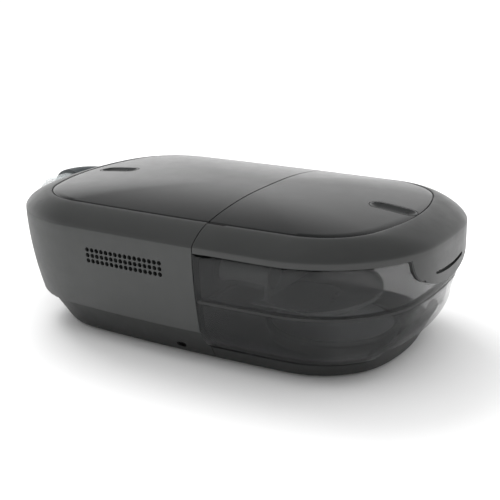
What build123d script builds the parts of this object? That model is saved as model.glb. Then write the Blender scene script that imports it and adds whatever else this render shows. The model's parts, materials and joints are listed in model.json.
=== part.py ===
"""Bedside positive-airway-pressure ventilator with an integrated heated humidifier.

Millimetres. +Z is up, +X runs along the body from the blower to the water tank, and the origin
is on the table, under the middle foot. The blower section lies at -X, the humidifier at +X.
Every piece is written to parts/ as its own STEP file.
"""

import os
from math import cos, radians, sin, sqrt

from build123d import *

os.makedirs("parts", exist_ok=True)

# ---------------------------------------------------------------- driving dimensions
# Heights of the main edges
foot_height = 1.2
wall_foot_z = 21.4
belt_z = 71.8
panel_edge_z = 81.4
crown_height = 6.2

# Outlines: half length, half width, bow of the ends, bow of the sides, corner radius
half_length = 133.0
half_width = 84.6
belt_bows = (13.0, 2.0)
belt_corner = 70.0
wall_foot_setback = (11.6, 6.6)
wall_foot_bows = (12.2, 7.2)
wall_foot_corner = 51.7
skirt_setback = (13.1, 10.4)
skirt_bows = (11.9, 5.8)
skirt_corner = 49.5
bottom_setback = (23.4, 22.0)
bottom_bows = (15.1, 3.9)
bottom_corner = 44.5
panel_setback = (19.5, 16.1)
panel_bows = (17.9, 1.8)
panel_corner = 38.0
wall_curve = (1.64, 1.75)
crown_power = 2.55
shoulder_power = 1.5

# Walls and gaps
wall = 2.4
skin = 2.0
deck = 1.8
clear_wall = 2.2
seam_gap = 0.6
part_gap = 0.3

# Seam between the two sections, and the hidden lid hinge
seam_x = 21.0
lid_band = 3.0
hinge_depth = 6.3
hinge_pin_radius = 1.1
lid_liner_drop = 0.4
seal_width = 3.0
hinge_ring_radius = 2.3
pin_clearance = 0.05
pocket_half_width = 68.4
beam_half_width = 61.0
beam_thickness = 3.0
lug_width = 6.0
lug_places = (-36.0, -14.0, 8.0, 30.0)

# Finger tongue at the free end of the lid
tongue_half_width = 41.5
tongue_tip_half_width = 38.3
tongue_tip_rise = 10.0
tongue_corner = 6.0
tongue_drop = 20.2
tongue_slot = (40.0, 1.8)
tongue_slot_z_above_tip = 7.4
tongue_slot_sag = 2.6

# Scooped buttons in the two top panels
button_length = 28.5
button_width = 12.5
start_button_x = -89.5
release_button_x = 98.5
button_travel = 1.2
button_stem_length = 5.0
scoop_depth = 1.8
scoop_margin = 1.2
stem_radius = 2.0
spring_radius = 4.0
switch_size = 6.0

# Air intake grille in the near wall
grille_columns = 16
grille_rows = 3
grille_pitch = (3.3, 3.3)
grille_hole_radius = 1.35
grille_center = (-25.0, 56.5)
grille_foam_thickness = 6.0

# Air path
return_y = 33.0
return_z = 61.0
return_port_z = 57.0
return_outer_radius = 11.0
return_bore_radius = 9.5
supply_y = -54.0
supply_z = 52.0
supply_outer_radius = 8.0
supply_bore_radius = 6.5
port_collar_radius = 14.2
port_depth = 12.0
port_recess = 3.8
spigot_radius = 11.5
spigot_clearance = 0.05
elbow_radius = 13.2
elbow_bore_radius = 9.8
elbow_bend_radius = 14.0
elbow_standoff = 2.0
cuff_radius = 11.0
cuff_bore_radius = 9.5
cuff_length = 18.0
o_ring_section = 1.1

# Blower: volute, impeller and motor
blower_x = -66.0
blower_y = -34.0
volute_radius = 30.0
volute_height = 20.0
volute_wall = 1.6
volute_inlet_radius = 12.0
impeller_radius = 24.0
impeller_height = 7.0
impeller_blades = 9
impeller_gap = 2.0
shaft_radius = 1.5
bearing_radius = 4.0
bearing_height = 3.0
bearing_clearance = 0.03
rotor_radius = 8.0
rotor_height = 6.0
stator_radius = 15.0
air_gap = 0.5
motor_cup_radius = 18.0
motor_cup_wall = 1.5
mount_height = 3.0
mount_radius = 3.0

# Base, boards and screws
tray_rim_z = 9.6
tray_end_rise = 8.0
tray_end_half_width = 44.0
foot_radius = 6.0
foot_inlay = 0.8
foot_places = ((-80.0, -38.0), (-80.0, 38.0), (0.0, 0.0), (80.0, -38.0), (80.0, 38.0))
screw_places = ((-60.0, -50.0), (-60.0, 50.0), (8.0, -50.0), (8.0, 50.0))
screw_head_radius = 2.8
screw_head_height = 2.0
screw_radius = 1.5
screw_boss_radius = 4.5
chassis_thickness = 2.0
board_size = (68.0, 64.0, 1.6)
board_center = (-40.0, 0.0)
board_standoff = 2.4
service_port_size = (6.5, 3.4)
service_port_place = (0.0, 6.2)

# Heater under the tank
heater_radius = 38.0
heater_x = 63.0
heater_plate_thickness = 1.8
heater_element_thickness = 1.0
heater_travel = 1.5
heater_spring_radius = 2.5
insulator_thickness = 1.0
tank_contact_gap = 0.3

# Water tank
ledge_z = 40.0
ledge_width = 2.4
gasket_height = 1.6
tank_top_gap = 0.5
tank_floor = 2.0
tank_plate_thickness = 0.8
air_guide_thickness = 1.6
air_guide_reach = 30.0
baffle_center = (53.0, -30.0)
baffle_radius = 50.0
baffle_left_x = 49.0
baffle_near_y = -71.0
baffle_thickness = 0.7
lip_width = 1.4
lip_drop = 1.8

# Far-side controls
display_size = (56.0, 28.0)
display_x = -40.0
display_z = 46.0
bezel_border = 3.0
lens_thickness = 1.2
module_thickness = 3.0
encoder_depth = 10.0
knob_radius = 10.0
knob_height = 9.0
knob_x = 4.0
knob_gap = 0.6
card_size = (24.0, 2.1, 30.0)
card_z = 26.5
card_clearance = 0.3

# End wall: filter cover and power inlet
filter_cover_size = (38.0, 22.0)
filter_center = (-36.0, 47.0)
filter_thickness = 6.0
filter_gap = 5.0
power_center = (42.0, 34.0)
power_bore_radius = 3.2
power_body_radius = 5.5
power_depth = 11.0


# ---------------------------------------------------------------- derived places
base_floor_z = foot_height + wall
lid_bottom_z = belt_z - lid_band
crown_top_z = panel_edge_z + crown_height
hinge_z = crown_top_z - hinge_depth
hinge_x = seam_x + seam_gap + hinge_depth
hinge_pocket_radius = hinge_depth * sqrt(2.0) + seam_gap
beam_top_z = hinge_z - hinge_pocket_radius
beam_bottom_z = beam_top_z - beam_thickness
lid_x = seam_x + seam_gap
lid_sweep_radius = sqrt(hinge_depth**2 + (hinge_z - lid_bottom_z) ** 2)
end_wall_x = seam_x - wall
tank_top_z = lid_bottom_z - tank_top_gap
liner_bottom_z = lid_bottom_z + lid_liner_drop
cup_foot_z = belt_z + 1.2
tank_x = seam_x + seam_gap
tank_foot_z = tray_rim_z + part_gap
chassis_z = wall_foot_z + part_gap
chassis_top_z = chassis_z + chassis_thickness
encoder_face_y = half_width - encoder_depth


def mix(start, end, share):
    """Return the value that lies a share of the way from start to end."""
    return start + (end - start) * share


# ---------------------------------------------------------------- outlines and hulls
def bulged_outline(height, half_x, half_y, bows, corner, inset=0.0):
    """Return a face at a height: a rectangle with four bowed sides and filleted corners."""
    half_x -= inset
    half_y -= inset
    x_corner = half_x - bows[0]
    y_corner = half_y - bows[1]
    with BuildSketch(Plane.XY.offset(height)) as outline:
        with BuildLine():
            ThreePointArc((x_corner, -y_corner), (half_x, 0), (x_corner, y_corner))
            ThreePointArc((x_corner, y_corner), (0, half_y), (-x_corner, y_corner))
            ThreePointArc((-x_corner, y_corner), (-half_x, 0), (-x_corner, -y_corner))
            ThreePointArc((-x_corner, -y_corner), (0, -half_y), (x_corner, -y_corner))
        make_face()
        fillet(outline.vertices(), corner - inset)
    return outline.sketch


def belt_outline(height, inset=0.0):
    """Outline of the widest line of the body."""
    return bulged_outline(height, half_length, half_width, belt_bows, belt_corner, inset)


def wall_outline(height, inset=0.0):
    """Outline of the side wall, which leans in from the belt down to its foot in a soft curve."""
    share = max(0.0, (belt_z - height) / (belt_z - wall_foot_z))
    share_x = share ** wall_curve[0]
    share_y = share ** wall_curve[1]
    return bulged_outline(
        height,
        half_length - wall_foot_setback[0] * share_x,
        half_width - wall_foot_setback[1] * share_y,
        (mix(belt_bows[0], wall_foot_bows[0], share_x), mix(belt_bows[1], wall_foot_bows[1], share_y)),
        mix(belt_corner, wall_foot_corner, share_x),
        inset,
    )


def skirt_outline(height, inset=0.0):
    """Outline of the skirt, which tapers in a straight line down to the underside."""
    share = (wall_foot_z - height) / (wall_foot_z - foot_height)
    return bulged_outline(
        height,
        half_length - mix(skirt_setback[0], bottom_setback[0], share),
        half_width - mix(skirt_setback[1], bottom_setback[1], share),
        (mix(skirt_bows[0], bottom_bows[0], share), mix(skirt_bows[1], bottom_bows[1], share)),
        mix(skirt_corner, bottom_corner, share),
        inset,
    )


def shoulder_outline(turn, inset=0.0, drop=0.0):
    """Outline of the rounded shoulder between belt (turn 0) and panel edge (turn 90 degrees)."""
    share = 1.0 - max(0.0, cos(radians(turn))) ** shoulder_power
    return bulged_outline(
        belt_z + (panel_edge_z - belt_z) * sin(radians(turn)) ** shoulder_power - drop,
        half_length - panel_setback[0] * share,
        half_width - panel_setback[1] * share,
        (mix(belt_bows[0], panel_bows[0], share), mix(belt_bows[1], panel_bows[1], share)),
        mix(belt_corner, panel_corner, share),
        inset,
    )


def crown_outline(share, inset=0.0, drop=0.0):
    """Outline of the crowned top at a share of its half size, from the edge (1) to the middle."""
    return bulged_outline(
        panel_edge_z + crown_height * (1.0 - share**crown_power) - drop,
        (half_length - panel_setback[0]) * share,
        (half_width - panel_setback[1]) * share,
        (panel_bows[0] * share, panel_bows[1] * share),
        panel_corner * share,
        inset,
    )


def tank_outline(height, inset=0.0):
    """Outline of the water tank: the side wall above its knee, then turning in to the tray."""
    knee_z = mix(wall_foot_z, ledge_z, 0.4)
    if height >= knee_z:
        return wall_outline(height, inset)
    share = ((knee_z - height) / (knee_z - tray_rim_z)) ** 2.2
    knee_share = (belt_z - knee_z) / (belt_z - wall_foot_z)
    knee_x = wall_foot_setback[0] * knee_share ** wall_curve[0]
    knee_y = wall_foot_setback[1] * knee_share ** wall_curve[1]
    rim_share = (wall_foot_z - tray_rim_z) / (wall_foot_z - foot_height)
    foot_x = mix(skirt_setback[0], bottom_setback[0], rim_share)
    foot_y = mix(skirt_setback[1], bottom_setback[1], rim_share)
    return bulged_outline(
        height,
        half_length - mix(knee_x, foot_x, share),
        half_width - mix(knee_y, foot_y, share),
        (mix(wall_foot_bows[0], bottom_bows[0], share), mix(wall_foot_bows[1], bottom_bows[1], share)),
        mix(wall_foot_corner, bottom_corner, share),
        inset,
    )


def hull(outline, heights, inset=0.0):
    """Return a solid lofted through an outline taken at several heights."""
    return loft([outline(height, inset) for height in heights], mode=Mode.PRIVATE)


def plate(outline, z_span, inset=0.0):
    """Return an upright prism on the outline at the lower of two heights."""
    return extrude(outline(z_span[0], inset), amount=z_span[1] - z_span[0], mode=Mode.PRIVATE)


def crown_z(x):
    """Height of the crown above the body's long centre line."""
    share = abs(x) / (half_length - panel_setback[0])
    return panel_edge_z + crown_height * (1.0 - share**crown_power)


def pocket_reach(y):
    """Radius that the lid's top edge sweeps round the hinge at a place along it, with its gap."""
    share = abs(y) / (half_width - panel_setback[1])
    edge_z = panel_edge_z + crown_height * (1.0 - share**crown_power)
    return sqrt(hinge_depth**2 + max(0.0, edge_z - hinge_z) ** 2) + seam_gap


def end_reach(y, z):
    """Distance from the origin to the end wall's outer face at a place."""
    share = (belt_z - z) / (belt_z - wall_foot_z)
    bow = belt_bows[0] * (y / (half_width - belt_bows[1])) ** 2
    return half_length - bow - wall_foot_setback[0] * share ** wall_curve[0]


def spaced(low, high, count):
    """Return evenly spaced values from low to high."""
    return [mix(low, high, step / (count - 1)) for step in range(count)]


def before(solid, x):
    """Return what lies on the blower's side of a plane across the body."""
    return split(solid, bisect_by=Plane.YZ.offset(x), keep=Keep.BOTTOM, mode=Mode.PRIVATE)


def beyond(solid, x):
    """Return what lies on the tank's side of a plane across the body."""
    return split(solid, bisect_by=Plane.YZ.offset(x), keep=Keep.TOP, mode=Mode.PRIVATE)


def block(x_span, y_span, z_span):
    """Return a box given by its three spans."""
    with BuildPart() as box:
        with Locations((x_span[0], y_span[0], z_span[0])):
            Box(
                x_span[1] - x_span[0],
                y_span[1] - y_span[0],
                z_span[1] - z_span[0],
                align=(Align.MIN, Align.MIN, Align.MIN),
            )
    return box.part


def bar_z(places, radius, z_span):
    """Return upright round bars at a list of places."""
    with BuildPart() as bars:
        with BuildSketch(Plane.XY.offset(z_span[0])):
            with Locations(*places):
                Circle(radius)
        extrude(amount=z_span[1] - z_span[0])
    return bars.part


def bar_x(center, radius, x_span):
    """Return a round bar along X about a centre given as (y, z)."""
    with BuildPart() as bar:
        with BuildSketch(Plane.YZ.offset(x_span[0])):
            with Locations(center):
                Circle(radius)
        extrude(amount=x_span[1] - x_span[0])
    return bar.part


def bar_y(center, radius, y_span):
    """Return a round bar along Y about a centre given as (x, z)."""
    with BuildPart() as bar:
        with BuildSketch(Plane.XZ.offset(-y_span[0])):
            with Locations(center):
                Circle(radius)
        extrude(amount=y_span[0] - y_span[1])
    return bar.part


def save(part, name):
    """Label a finished piece and write it to its STEP file."""
    part.part.label = name
    export_step(part.part, f"parts/{name}.step")


shoulder_turns = spaced(0.0, 90.0, 5)
crown_shares = (1.0, 0.9, 0.75, 0.55, 0.3, 0.1)
wall_heights = spaced(wall_foot_z, belt_z, 4)
far_wall_y = half_width
near_wall_y = -half_width

# The crowned block under the top panels, its lower copy, and the shoulder block around them
crown_block = loft([crown_outline(share) for share in crown_shares])
crown_core = loft([crown_outline(share, skin, skin) for share in crown_shares])
shoulder_block = loft([shoulder_outline(turn) for turn in shoulder_turns])
shoulder_core = loft([shoulder_outline(turn, wall, deck) for turn in shoulder_turns])
wall_block = hull(wall_outline, wall_heights)
wall_core = hull(wall_outline, wall_heights, wall)
skirt_block = hull(skirt_outline, (foot_height, wall_foot_z))
skirt_core = hull(skirt_outline, (base_floor_z, wall_foot_z + wall), wall)
port_face_x = -half_length + port_recess
port_inner_x = port_face_x + port_depth
hinge_line = Axis((hinge_x, 0, hinge_z), (0, 1, 0))
pocket_edge = [(hinge_x - pocket_reach(y), y) for y in spaced(-pocket_half_width, pocket_half_width, 25)]
with BuildPart() as hinge_pocket_room:
    with BuildSketch(Plane.XY.offset(hinge_z)):
        with BuildLine():
            Spline(*pocket_edge)
            Polyline(
                pocket_edge[-1],
                (hinge_x, pocket_half_width),
                (hinge_x, -pocket_half_width),
                pocket_edge[0],
            )
        make_face()
    revolve(axis=hinge_line)
hinge_pocket = hinge_pocket_room.part
lid_sweep = bar_y((hinge_x, hinge_z), lid_sweep_radius + part_gap, (-half_width, half_width))


# ---------------------------------------------------------------- base
with BuildPart() as base_pan:
    add(skirt_block)
    # hollow for the blower section, and a shallow tray under the tank
    add(before(skirt_core, end_wall_x), mode=Mode.SUBTRACT)
    add(beyond(skirt_core, tank_x), mode=Mode.SUBTRACT)
    # the tray's rim is low, and rises again in a tab at the far end
    tab_x = half_length - bottom_setback[0] - 2 * wall
    add(
        block((seam_x, tab_x), (-half_width, half_width), (tray_rim_z, belt_z)),
        mode=Mode.SUBTRACT,
    )
    for side in (-1, 1):
        outer_y = sorted((side * tray_end_half_width, side * half_width))
        add(block((seam_x, half_length), outer_y, (tray_rim_z, belt_z)), mode=Mode.SUBTRACT)
    add(
        block((seam_x, half_length), (-half_width, half_width), (tray_rim_z + tray_end_rise, belt_z)),
        mode=Mode.SUBTRACT,
    )
    # screw bosses, each with a counterbore from below, and shallow seats for the feet
    add(bar_z(screw_places, screw_boss_radius, (foot_height, wall_foot_z)))
    add(bar_z(screw_places, screw_radius + part_gap / 2, (foot_height, belt_z)), mode=Mode.SUBTRACT)
    add(
        bar_z(screw_places, screw_head_radius + part_gap, (foot_height, foot_height + screw_head_height)),
        mode=Mode.SUBTRACT,
    )
    add(bar_z(foot_places, foot_radius, (foot_height, foot_height + foot_inlay)), mode=Mode.SUBTRACT)
    # oval window for the service port
    with BuildSketch(Plane.XZ.offset(half_width - 2 * skirt_setback[1])):
        with Locations(service_port_place):
            SlotOverall(service_port_size[0], service_port_size[1])
    extrude(amount=half_width, mode=Mode.SUBTRACT)
save(base_pan, "base_pan")

with BuildPart() as rubber_feet:
    add(bar_z(foot_places, foot_radius, (0, foot_height + foot_inlay)))
    chamfer(rubber_feet.edges().group_by(Axis.Z)[0], foot_height / 3)
save(rubber_feet, "rubber_feet")

with BuildPart() as base_screws:
    add(bar_z(screw_places, screw_head_radius, (foot_height, foot_height + screw_head_height)))
    add(bar_z(screw_places, screw_radius, (foot_height, chassis_top_z)))
    for place in screw_places:
        with BuildSketch(Plane.XY.offset(foot_height)):
            with Locations(place):
                RegularPolygon(screw_radius, 6)
        extrude(amount=screw_head_height / 2, mode=Mode.SUBTRACT)
save(base_screws, "base_screws")

# ---------------------------------------------------------------- blower housing
with BuildPart() as blower_housing:
    add(before(wall_block, seam_x))
    add(before(wall_core, end_wall_x), mode=Mode.SUBTRACT)
    # the end wall is lower between the rim's ends, under the hinge beam
    add(
        block(
            (end_wall_x - wall, tank_x),
            (-beam_half_width - part_gap, beam_half_width + part_gap),
            (beam_bottom_z - part_gap, crown_top_z),
        ),
        mode=Mode.SUBTRACT,
    )
    # two air ports to the tank, and the outlet port in the end
    add(bar_x((return_y, return_port_z), return_outer_radius, (end_wall_x, tank_x)), mode=Mode.SUBTRACT)
    add(bar_x((supply_y, supply_z), supply_outer_radius, (0, tank_x)), mode=Mode.SUBTRACT)
    outlet_hole = (-half_length - wall, port_inner_x)
    add(bar_x((return_y, return_z), port_collar_radius, outlet_hole), mode=Mode.SUBTRACT)
    # intake grille in the near wall
    with BuildSketch(Plane.XZ.offset(half_width / 2)):
        with Locations(grille_center):
            with GridLocations(grille_pitch[0], grille_pitch[1], grille_columns, grille_rows):
                Circle(grille_hole_radius)
    extrude(amount=half_width, mode=Mode.SUBTRACT)
    # windows in the far wall: display, knob spindle and memory card
    with BuildSketch(Plane.XZ.offset(-half_width / 2)):
        with Locations((display_x, display_z)):
            RectangleRounded(display_size[0] + 2 * bezel_border, display_size[1] + 2 * bezel_border, 4)
        with Locations((knob_x, display_z)):
            Circle(knob_radius / 2)
        with Locations((display_x, card_z)):
            Rectangle(card_size[0] + 2 * card_clearance, card_size[1] + 2 * card_clearance)
    extrude(amount=-half_width, mode=Mode.SUBTRACT)
    # openings in the end wall: filter cover and power inlet
    with BuildSketch(Plane.YZ.offset(-half_length / 2)):
        with Locations(filter_center):
            RectangleRounded(filter_cover_size[0], filter_cover_size[1], 3)
        with Locations(power_center):
            Circle(power_body_radius)
    extrude(amount=-half_length, mode=Mode.SUBTRACT)
save(blower_housing, "blower_housing")

with BuildPart() as filter_cover:
    add(before(wall_block, -half_length / 2))
    add(wall_core, mode=Mode.SUBTRACT)
    with BuildSketch(Plane.YZ.offset(-half_length / 2)):
        with Locations(filter_center):
            RectangleRounded(
                filter_cover_size[0] - 2 * part_gap, filter_cover_size[1] - 2 * part_gap, 3 - part_gap
            )
            with GridLocations(filter_cover_size[0] / 8, filter_cover_size[1], 6, 1):
                SlotOverall(
                    filter_cover_size[1] * 0.6, grille_hole_radius, rotation=90, mode=Mode.SUBTRACT
                )
    extrude(amount=-half_length, mode=Mode.INTERSECT)
save(filter_cover, "filter_cover")

filter_low_corner = (
    filter_center[0] - filter_cover_size[0] / 2,
    filter_center[1] - filter_cover_size[1] / 2,
)
filter_face_x = -end_reach(*filter_low_corner) + 2 * wall + filter_gap
with BuildPart() as air_filter:
    add(
        block(
            (filter_face_x, filter_face_x + filter_thickness),
            (filter_center[0] - filter_cover_size[0] / 2, filter_center[0] + filter_cover_size[0] / 2),
            (filter_center[1] - filter_cover_size[1] / 2, filter_center[1] + filter_cover_size[1] / 2),
        )
    )
    fillet(air_filter.edges().filter_by(Axis.X), 2)
save(air_filter, "air_filter")

grille_size = (grille_columns * grille_pitch[0], grille_rows * grille_pitch[1])
foam_wall_y = near_wall_y + wall + wall_foot_setback[1] / 2
with BuildPart() as grille_foam:
    add(
        block(
            (grille_center[0] - grille_size[0] / 2, grille_center[0] + grille_size[0] / 2),
            (foam_wall_y, foam_wall_y + grille_foam_thickness),
            (grille_center[1] - grille_size[1] / 2, grille_center[1] + grille_size[1] / 2),
        )
    )
save(grille_foam, "grille_foam")

# ---------------------------------------------------------------- blower rim and top panel
rim_wall_x = hinge_x - hinge_pocket_radius - part_gap
cup_rest_z = cup_foot_z + deck
button_foot_z = panel_edge_z - deck - part_gap
stem_foot_z = cup_foot_z - part_gap
crown_column = crown_block + plate(
    lambda z, inset: bulged_outline(
        z, half_length - panel_setback[0], half_width - panel_setback[1], panel_bows, panel_corner
    ),
    (belt_z, panel_edge_z),
)


def add_button_cup(center_x):
    """Add a cup for a button under the active rim's deck, with a guide hole for the stem."""
    add(button_prism(center_x, deck, (cup_foot_z, panel_edge_z - deck)))
    add(button_prism(center_x, 0.0, (cup_rest_z, crown_top_z)), mode=Mode.SUBTRACT)
    add(bar_z([(center_x, 0)], stem_radius + part_gap, (belt_z, crown_top_z)), mode=Mode.SUBTRACT)


def button_prism(center_x, margin, z_span):
    """Return an oblong prism about a button's centre, wider than the button hole by a margin."""
    with BuildPart() as prism:
        with BuildSketch(Plane.XY.offset(z_span[0])):
            with Locations((center_x, 0)):
                SlotOverall(button_length + 2 * margin, button_width + 2 * margin)
        extrude(amount=z_span[1] - z_span[0])
    return prism.part


with BuildPart() as blower_rim:
    add(before(shoulder_block, seam_x))
    add(before(shoulder_core, seam_x), mode=Mode.SUBTRACT)
    # closing wall behind the hinge pocket
    add(before(beyond(shoulder_block, rim_wall_x - wall), rim_wall_x))
    add(hinge_pocket, mode=Mode.SUBTRACT)
    # beam and lugs that carry the hinge pin
    add(
        block(
            (rim_wall_x - wall, rim_wall_x),
            (-beam_half_width, beam_half_width),
            (beam_bottom_z, belt_z + wall),
        )
    )
    add(
        block(
            (rim_wall_x - wall, hinge_x + hinge_ring_radius),
            (-beam_half_width, beam_half_width),
            (beam_bottom_z, beam_top_z),
        )
    )
    for y in lug_places:
        lug_span = (y - lug_width / 2, y + lug_width / 2)
        add(
            block(
                (hinge_x - hinge_ring_radius, hinge_x + hinge_ring_radius),
                lug_span,
                (beam_bottom_z, hinge_z),
            )
        )
        add(bar_y((hinge_x, hinge_z), hinge_ring_radius, lug_span))
    add(bar_y((hinge_x, hinge_z), hinge_pin_radius, (-half_width, half_width)), mode=Mode.SUBTRACT)
    add_button_cup(start_button_x)
    # the outlet port crosses the joint between housing and rim
    add(bar_x((return_y, return_z), port_collar_radius, outlet_hole), mode=Mode.SUBTRACT)
save(blower_rim, "blower_rim")

with BuildPart() as blower_panel:
    add(before(crown_block, seam_x))
    add(crown_core, mode=Mode.SUBTRACT)
    add(hinge_pocket, mode=Mode.SUBTRACT)
    add(button_prism(start_button_x, 0.0, (belt_z, crown_top_z)), mode=Mode.SUBTRACT)
save(blower_panel, "blower_panel")


def scooped_button(center_x):
    """Return an oblong button with a scooped top that is flush with the crown around it."""
    half_chord = button_width / 2 - scoop_margin
    scoop_radius = (half_chord**2 + scoop_depth**2) / (2 * scoop_depth)
    reach = button_length / 2 - scoop_margin - half_chord
    ends = [
        (x, 0, crown_z(x) - scoop_depth + scoop_radius) for x in (center_x - reach, center_x + reach)
    ]
    with BuildPart(mode=Mode.PRIVATE) as scoop:
        with BuildLine() as path:
            Line(ends[0], ends[1])
        with BuildSketch(Plane(ends[0], z_dir=path.line % 0)):
            Circle(scoop_radius)
        sweep()
        with Locations(*ends):
            Sphere(scoop_radius)
    with BuildPart() as button:
        add(button_prism(center_x, -part_gap, (button_foot_z, crown_top_z)))
        add(crown_column, mode=Mode.INTERSECT)
        add(scoop.part, mode=Mode.SUBTRACT)
        add(bar_z([(center_x, 0)], stem_radius, (stem_foot_z, button_foot_z)))
    return button


def return_spring(center_x):
    """Return the ring-shaped envelope of the coil spring between cup and button."""
    with BuildPart() as spring:
        add(bar_z([(center_x, 0)], spring_radius, (cup_rest_z, button_foot_z)))
        add(bar_z([(center_x, 0)], stem_radius + part_gap, (cup_rest_z, button_foot_z)), mode=Mode.SUBTRACT)
    return spring


start_button = scooped_button(start_button_x)
save(start_button, "start_button")
start_button_spring = return_spring(start_button_x)
save(start_button_spring, "start_button_spring")

with BuildPart() as start_switch:
    switch_top_z = stem_foot_z - button_travel - part_gap
    add(
        block(
            (start_button_x - switch_size / 2, start_button_x + switch_size / 2),
            (-switch_size / 2, switch_size / 2),
            (switch_top_z - switch_size / 2, switch_top_z - 1),
        )
    )
    add(bar_z([(start_button_x, 0)], switch_size / 4, (switch_top_z - 1, switch_top_z)))
save(start_switch, "start_switch")

# ---------------------------------------------------------------- lid
with BuildPart() as lid_rim:
    add(beyond(shoulder_block, lid_x))
    add(beyond(plate(belt_outline, (lid_bottom_z, belt_z)), lid_x))
    add(beyond(shoulder_core, lid_x), mode=Mode.SUBTRACT)
    add(plate(belt_outline, (lid_bottom_z, belt_z), wall), mode=Mode.SUBTRACT)
    # finger tongue: the outer wall carried down at the end, with a bowed lower edge
    tip_z = lid_bottom_z - tongue_drop
    with BuildPart(mode=Mode.PRIVATE) as tongue_band:
        add(plate(belt_outline, (tip_z, belt_z)))
        add(plate(belt_outline, (tip_z, belt_z), wall), mode=Mode.SUBTRACT)
    with BuildPart(mode=Mode.PRIVATE) as tongue:
        with BuildSketch(Plane.YZ.offset(half_length / 2)) as tongue_face:
            with BuildLine():
                edge = ThreePointArc(
                    (-tongue_tip_half_width, tip_z + tongue_tip_rise),
                    (0, tip_z),
                    (tongue_tip_half_width, tip_z + tongue_tip_rise),
                )
                Polyline(
                    edge @ 1,
                    (tongue_half_width, lid_bottom_z),
                    (tongue_half_width, belt_z),
                    (-tongue_half_width, belt_z),
                    (-tongue_half_width, lid_bottom_z),
                    edge @ 0,
                )
            make_face()
            fillet(tongue_face.vertices().group_by(Axis.Y)[0], tongue_corner)
        extrude(amount=half_length)
        add(tongue_band.part, mode=Mode.INTERSECT)
    add(tongue.part)
    # finger slot in the tongue, bowed like its lower edge
    slot_z = tip_z + tongue_slot_z_above_tip
    with BuildSketch(Plane.YZ.offset(half_length / 2)):
        with BuildLine():
            slot_line = ThreePointArc(
                (-tongue_slot[0] / 2, slot_z + tongue_slot_sag),
                (0, slot_z),
                (tongue_slot[0] / 2, slot_z + tongue_slot_sag),
            )
        SlotArc(slot_line, tongue_slot[1])
    extrude(amount=half_length, mode=Mode.SUBTRACT)
    # notch in the deck over the hinge, and the knuckles between the lugs
    add(
        block(
            (seam_x, hinge_x + 2 * hinge_ring_radius),
            (-pocket_half_width, pocket_half_width),
            (panel_edge_z - 2 * deck, crown_top_z),
        ),
        mode=Mode.SUBTRACT,
    )
    for y in lug_places:
        knuckle_y = y + (lug_width + lug_width) / 2 + part_gap
        knuckle_span = (knuckle_y - lug_width / 2, knuckle_y + lug_width / 2)
        add(
            block(
                (hinge_x, hinge_x + 2 * hinge_ring_radius + deck),
                knuckle_span,
                (panel_edge_z - deck, hinge_z + hinge_ring_radius),
            )
        )
        add(bar_y((hinge_x, hinge_z), hinge_ring_radius, knuckle_span))
    add(
        bar_y((hinge_x, hinge_z), hinge_pin_radius + pin_clearance, (-half_width, half_width)),
        mode=Mode.SUBTRACT,
    )
    add_button_cup(release_button_x)
save(lid_rim, "lid_rim")

with BuildPart() as lid_panel:
    add(beyond(crown_block, lid_x))
    add(crown_core, mode=Mode.SUBTRACT)
    add(button_prism(release_button_x, 0.0, (belt_z, crown_top_z)), mode=Mode.SUBTRACT)
save(lid_panel, "lid_panel")

with BuildPart() as hinge_pin:
    pin_end = lug_places[-1] + 1.5 * lug_width + 2 * part_gap
    add(bar_y((hinge_x, hinge_z), hinge_pin_radius, (lug_places[0] - lug_width / 2, pin_end)))
save(hinge_pin, "hinge_pin")

release_button = scooped_button(release_button_x)
save(release_button, "release_button")
release_button_spring = return_spring(release_button_x)
save(release_button_spring, "release_button_spring")

liner_x = hinge_x + 8.0
with BuildPart() as lid_liner:
    add(beyond(plate(belt_outline, (liner_bottom_z, liner_bottom_z + deck), wall + part_gap), liner_x))
save(lid_liner, "lid_liner")

with BuildPart() as lid_seal:
    seal_inset = wall + part_gap + seal_width
    add(beyond(plate(belt_outline, (tank_top_z + part_gap, liner_bottom_z), seal_inset), liner_x + 1))
    add(
        beyond(
            plate(belt_outline, (tank_top_z, belt_z), seal_inset + seal_width), liner_x + 1 + seal_width
        ),
        mode=Mode.SUBTRACT,
    )
save(lid_seal, "lid_seal")

# ---------------------------------------------------------------- water tank
tub_heights = (tank_foot_z, *spaced(mix(tank_foot_z, ledge_z, 0.2), ledge_z, 4))
hood_z = ledge_z + gasket_height
hood_heights = spaced(hood_z, tank_top_z, 3)


def tongue_space(margin):
    """Return the room outside the belt's inner face at the tongue, grown by a margin."""
    with BuildPart() as space:
        add(
            block(
                (half_length / 2, half_length + wall),
                (-tongue_half_width - part_gap - margin, tongue_half_width + part_gap + margin),
                (tip_z - part_gap - margin, belt_z),
            )
        )
        add(
            plate(belt_outline, (tip_z - part_gap - margin, belt_z), wall + part_gap + margin),
            mode=Mode.SUBTRACT,
        )
    return space.part


tab_space = block(
    (tab_x - part_gap, half_length),
    (-tray_end_half_width - part_gap, tray_end_half_width + part_gap),
    (tank_foot_z - wall, tray_rim_z + tray_end_rise + part_gap),
)
tab_backing = block(
    (tab_x - part_gap - clear_wall, half_length),
    (-tray_end_half_width - part_gap - clear_wall, tray_end_half_width + part_gap + clear_wall),
    (tank_foot_z - wall, tray_rim_z + tray_end_rise + part_gap + clear_wall),
)
plate_z = tank_foot_z
port_centers = ((return_y, return_port_z), (supply_y, supply_z))

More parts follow.
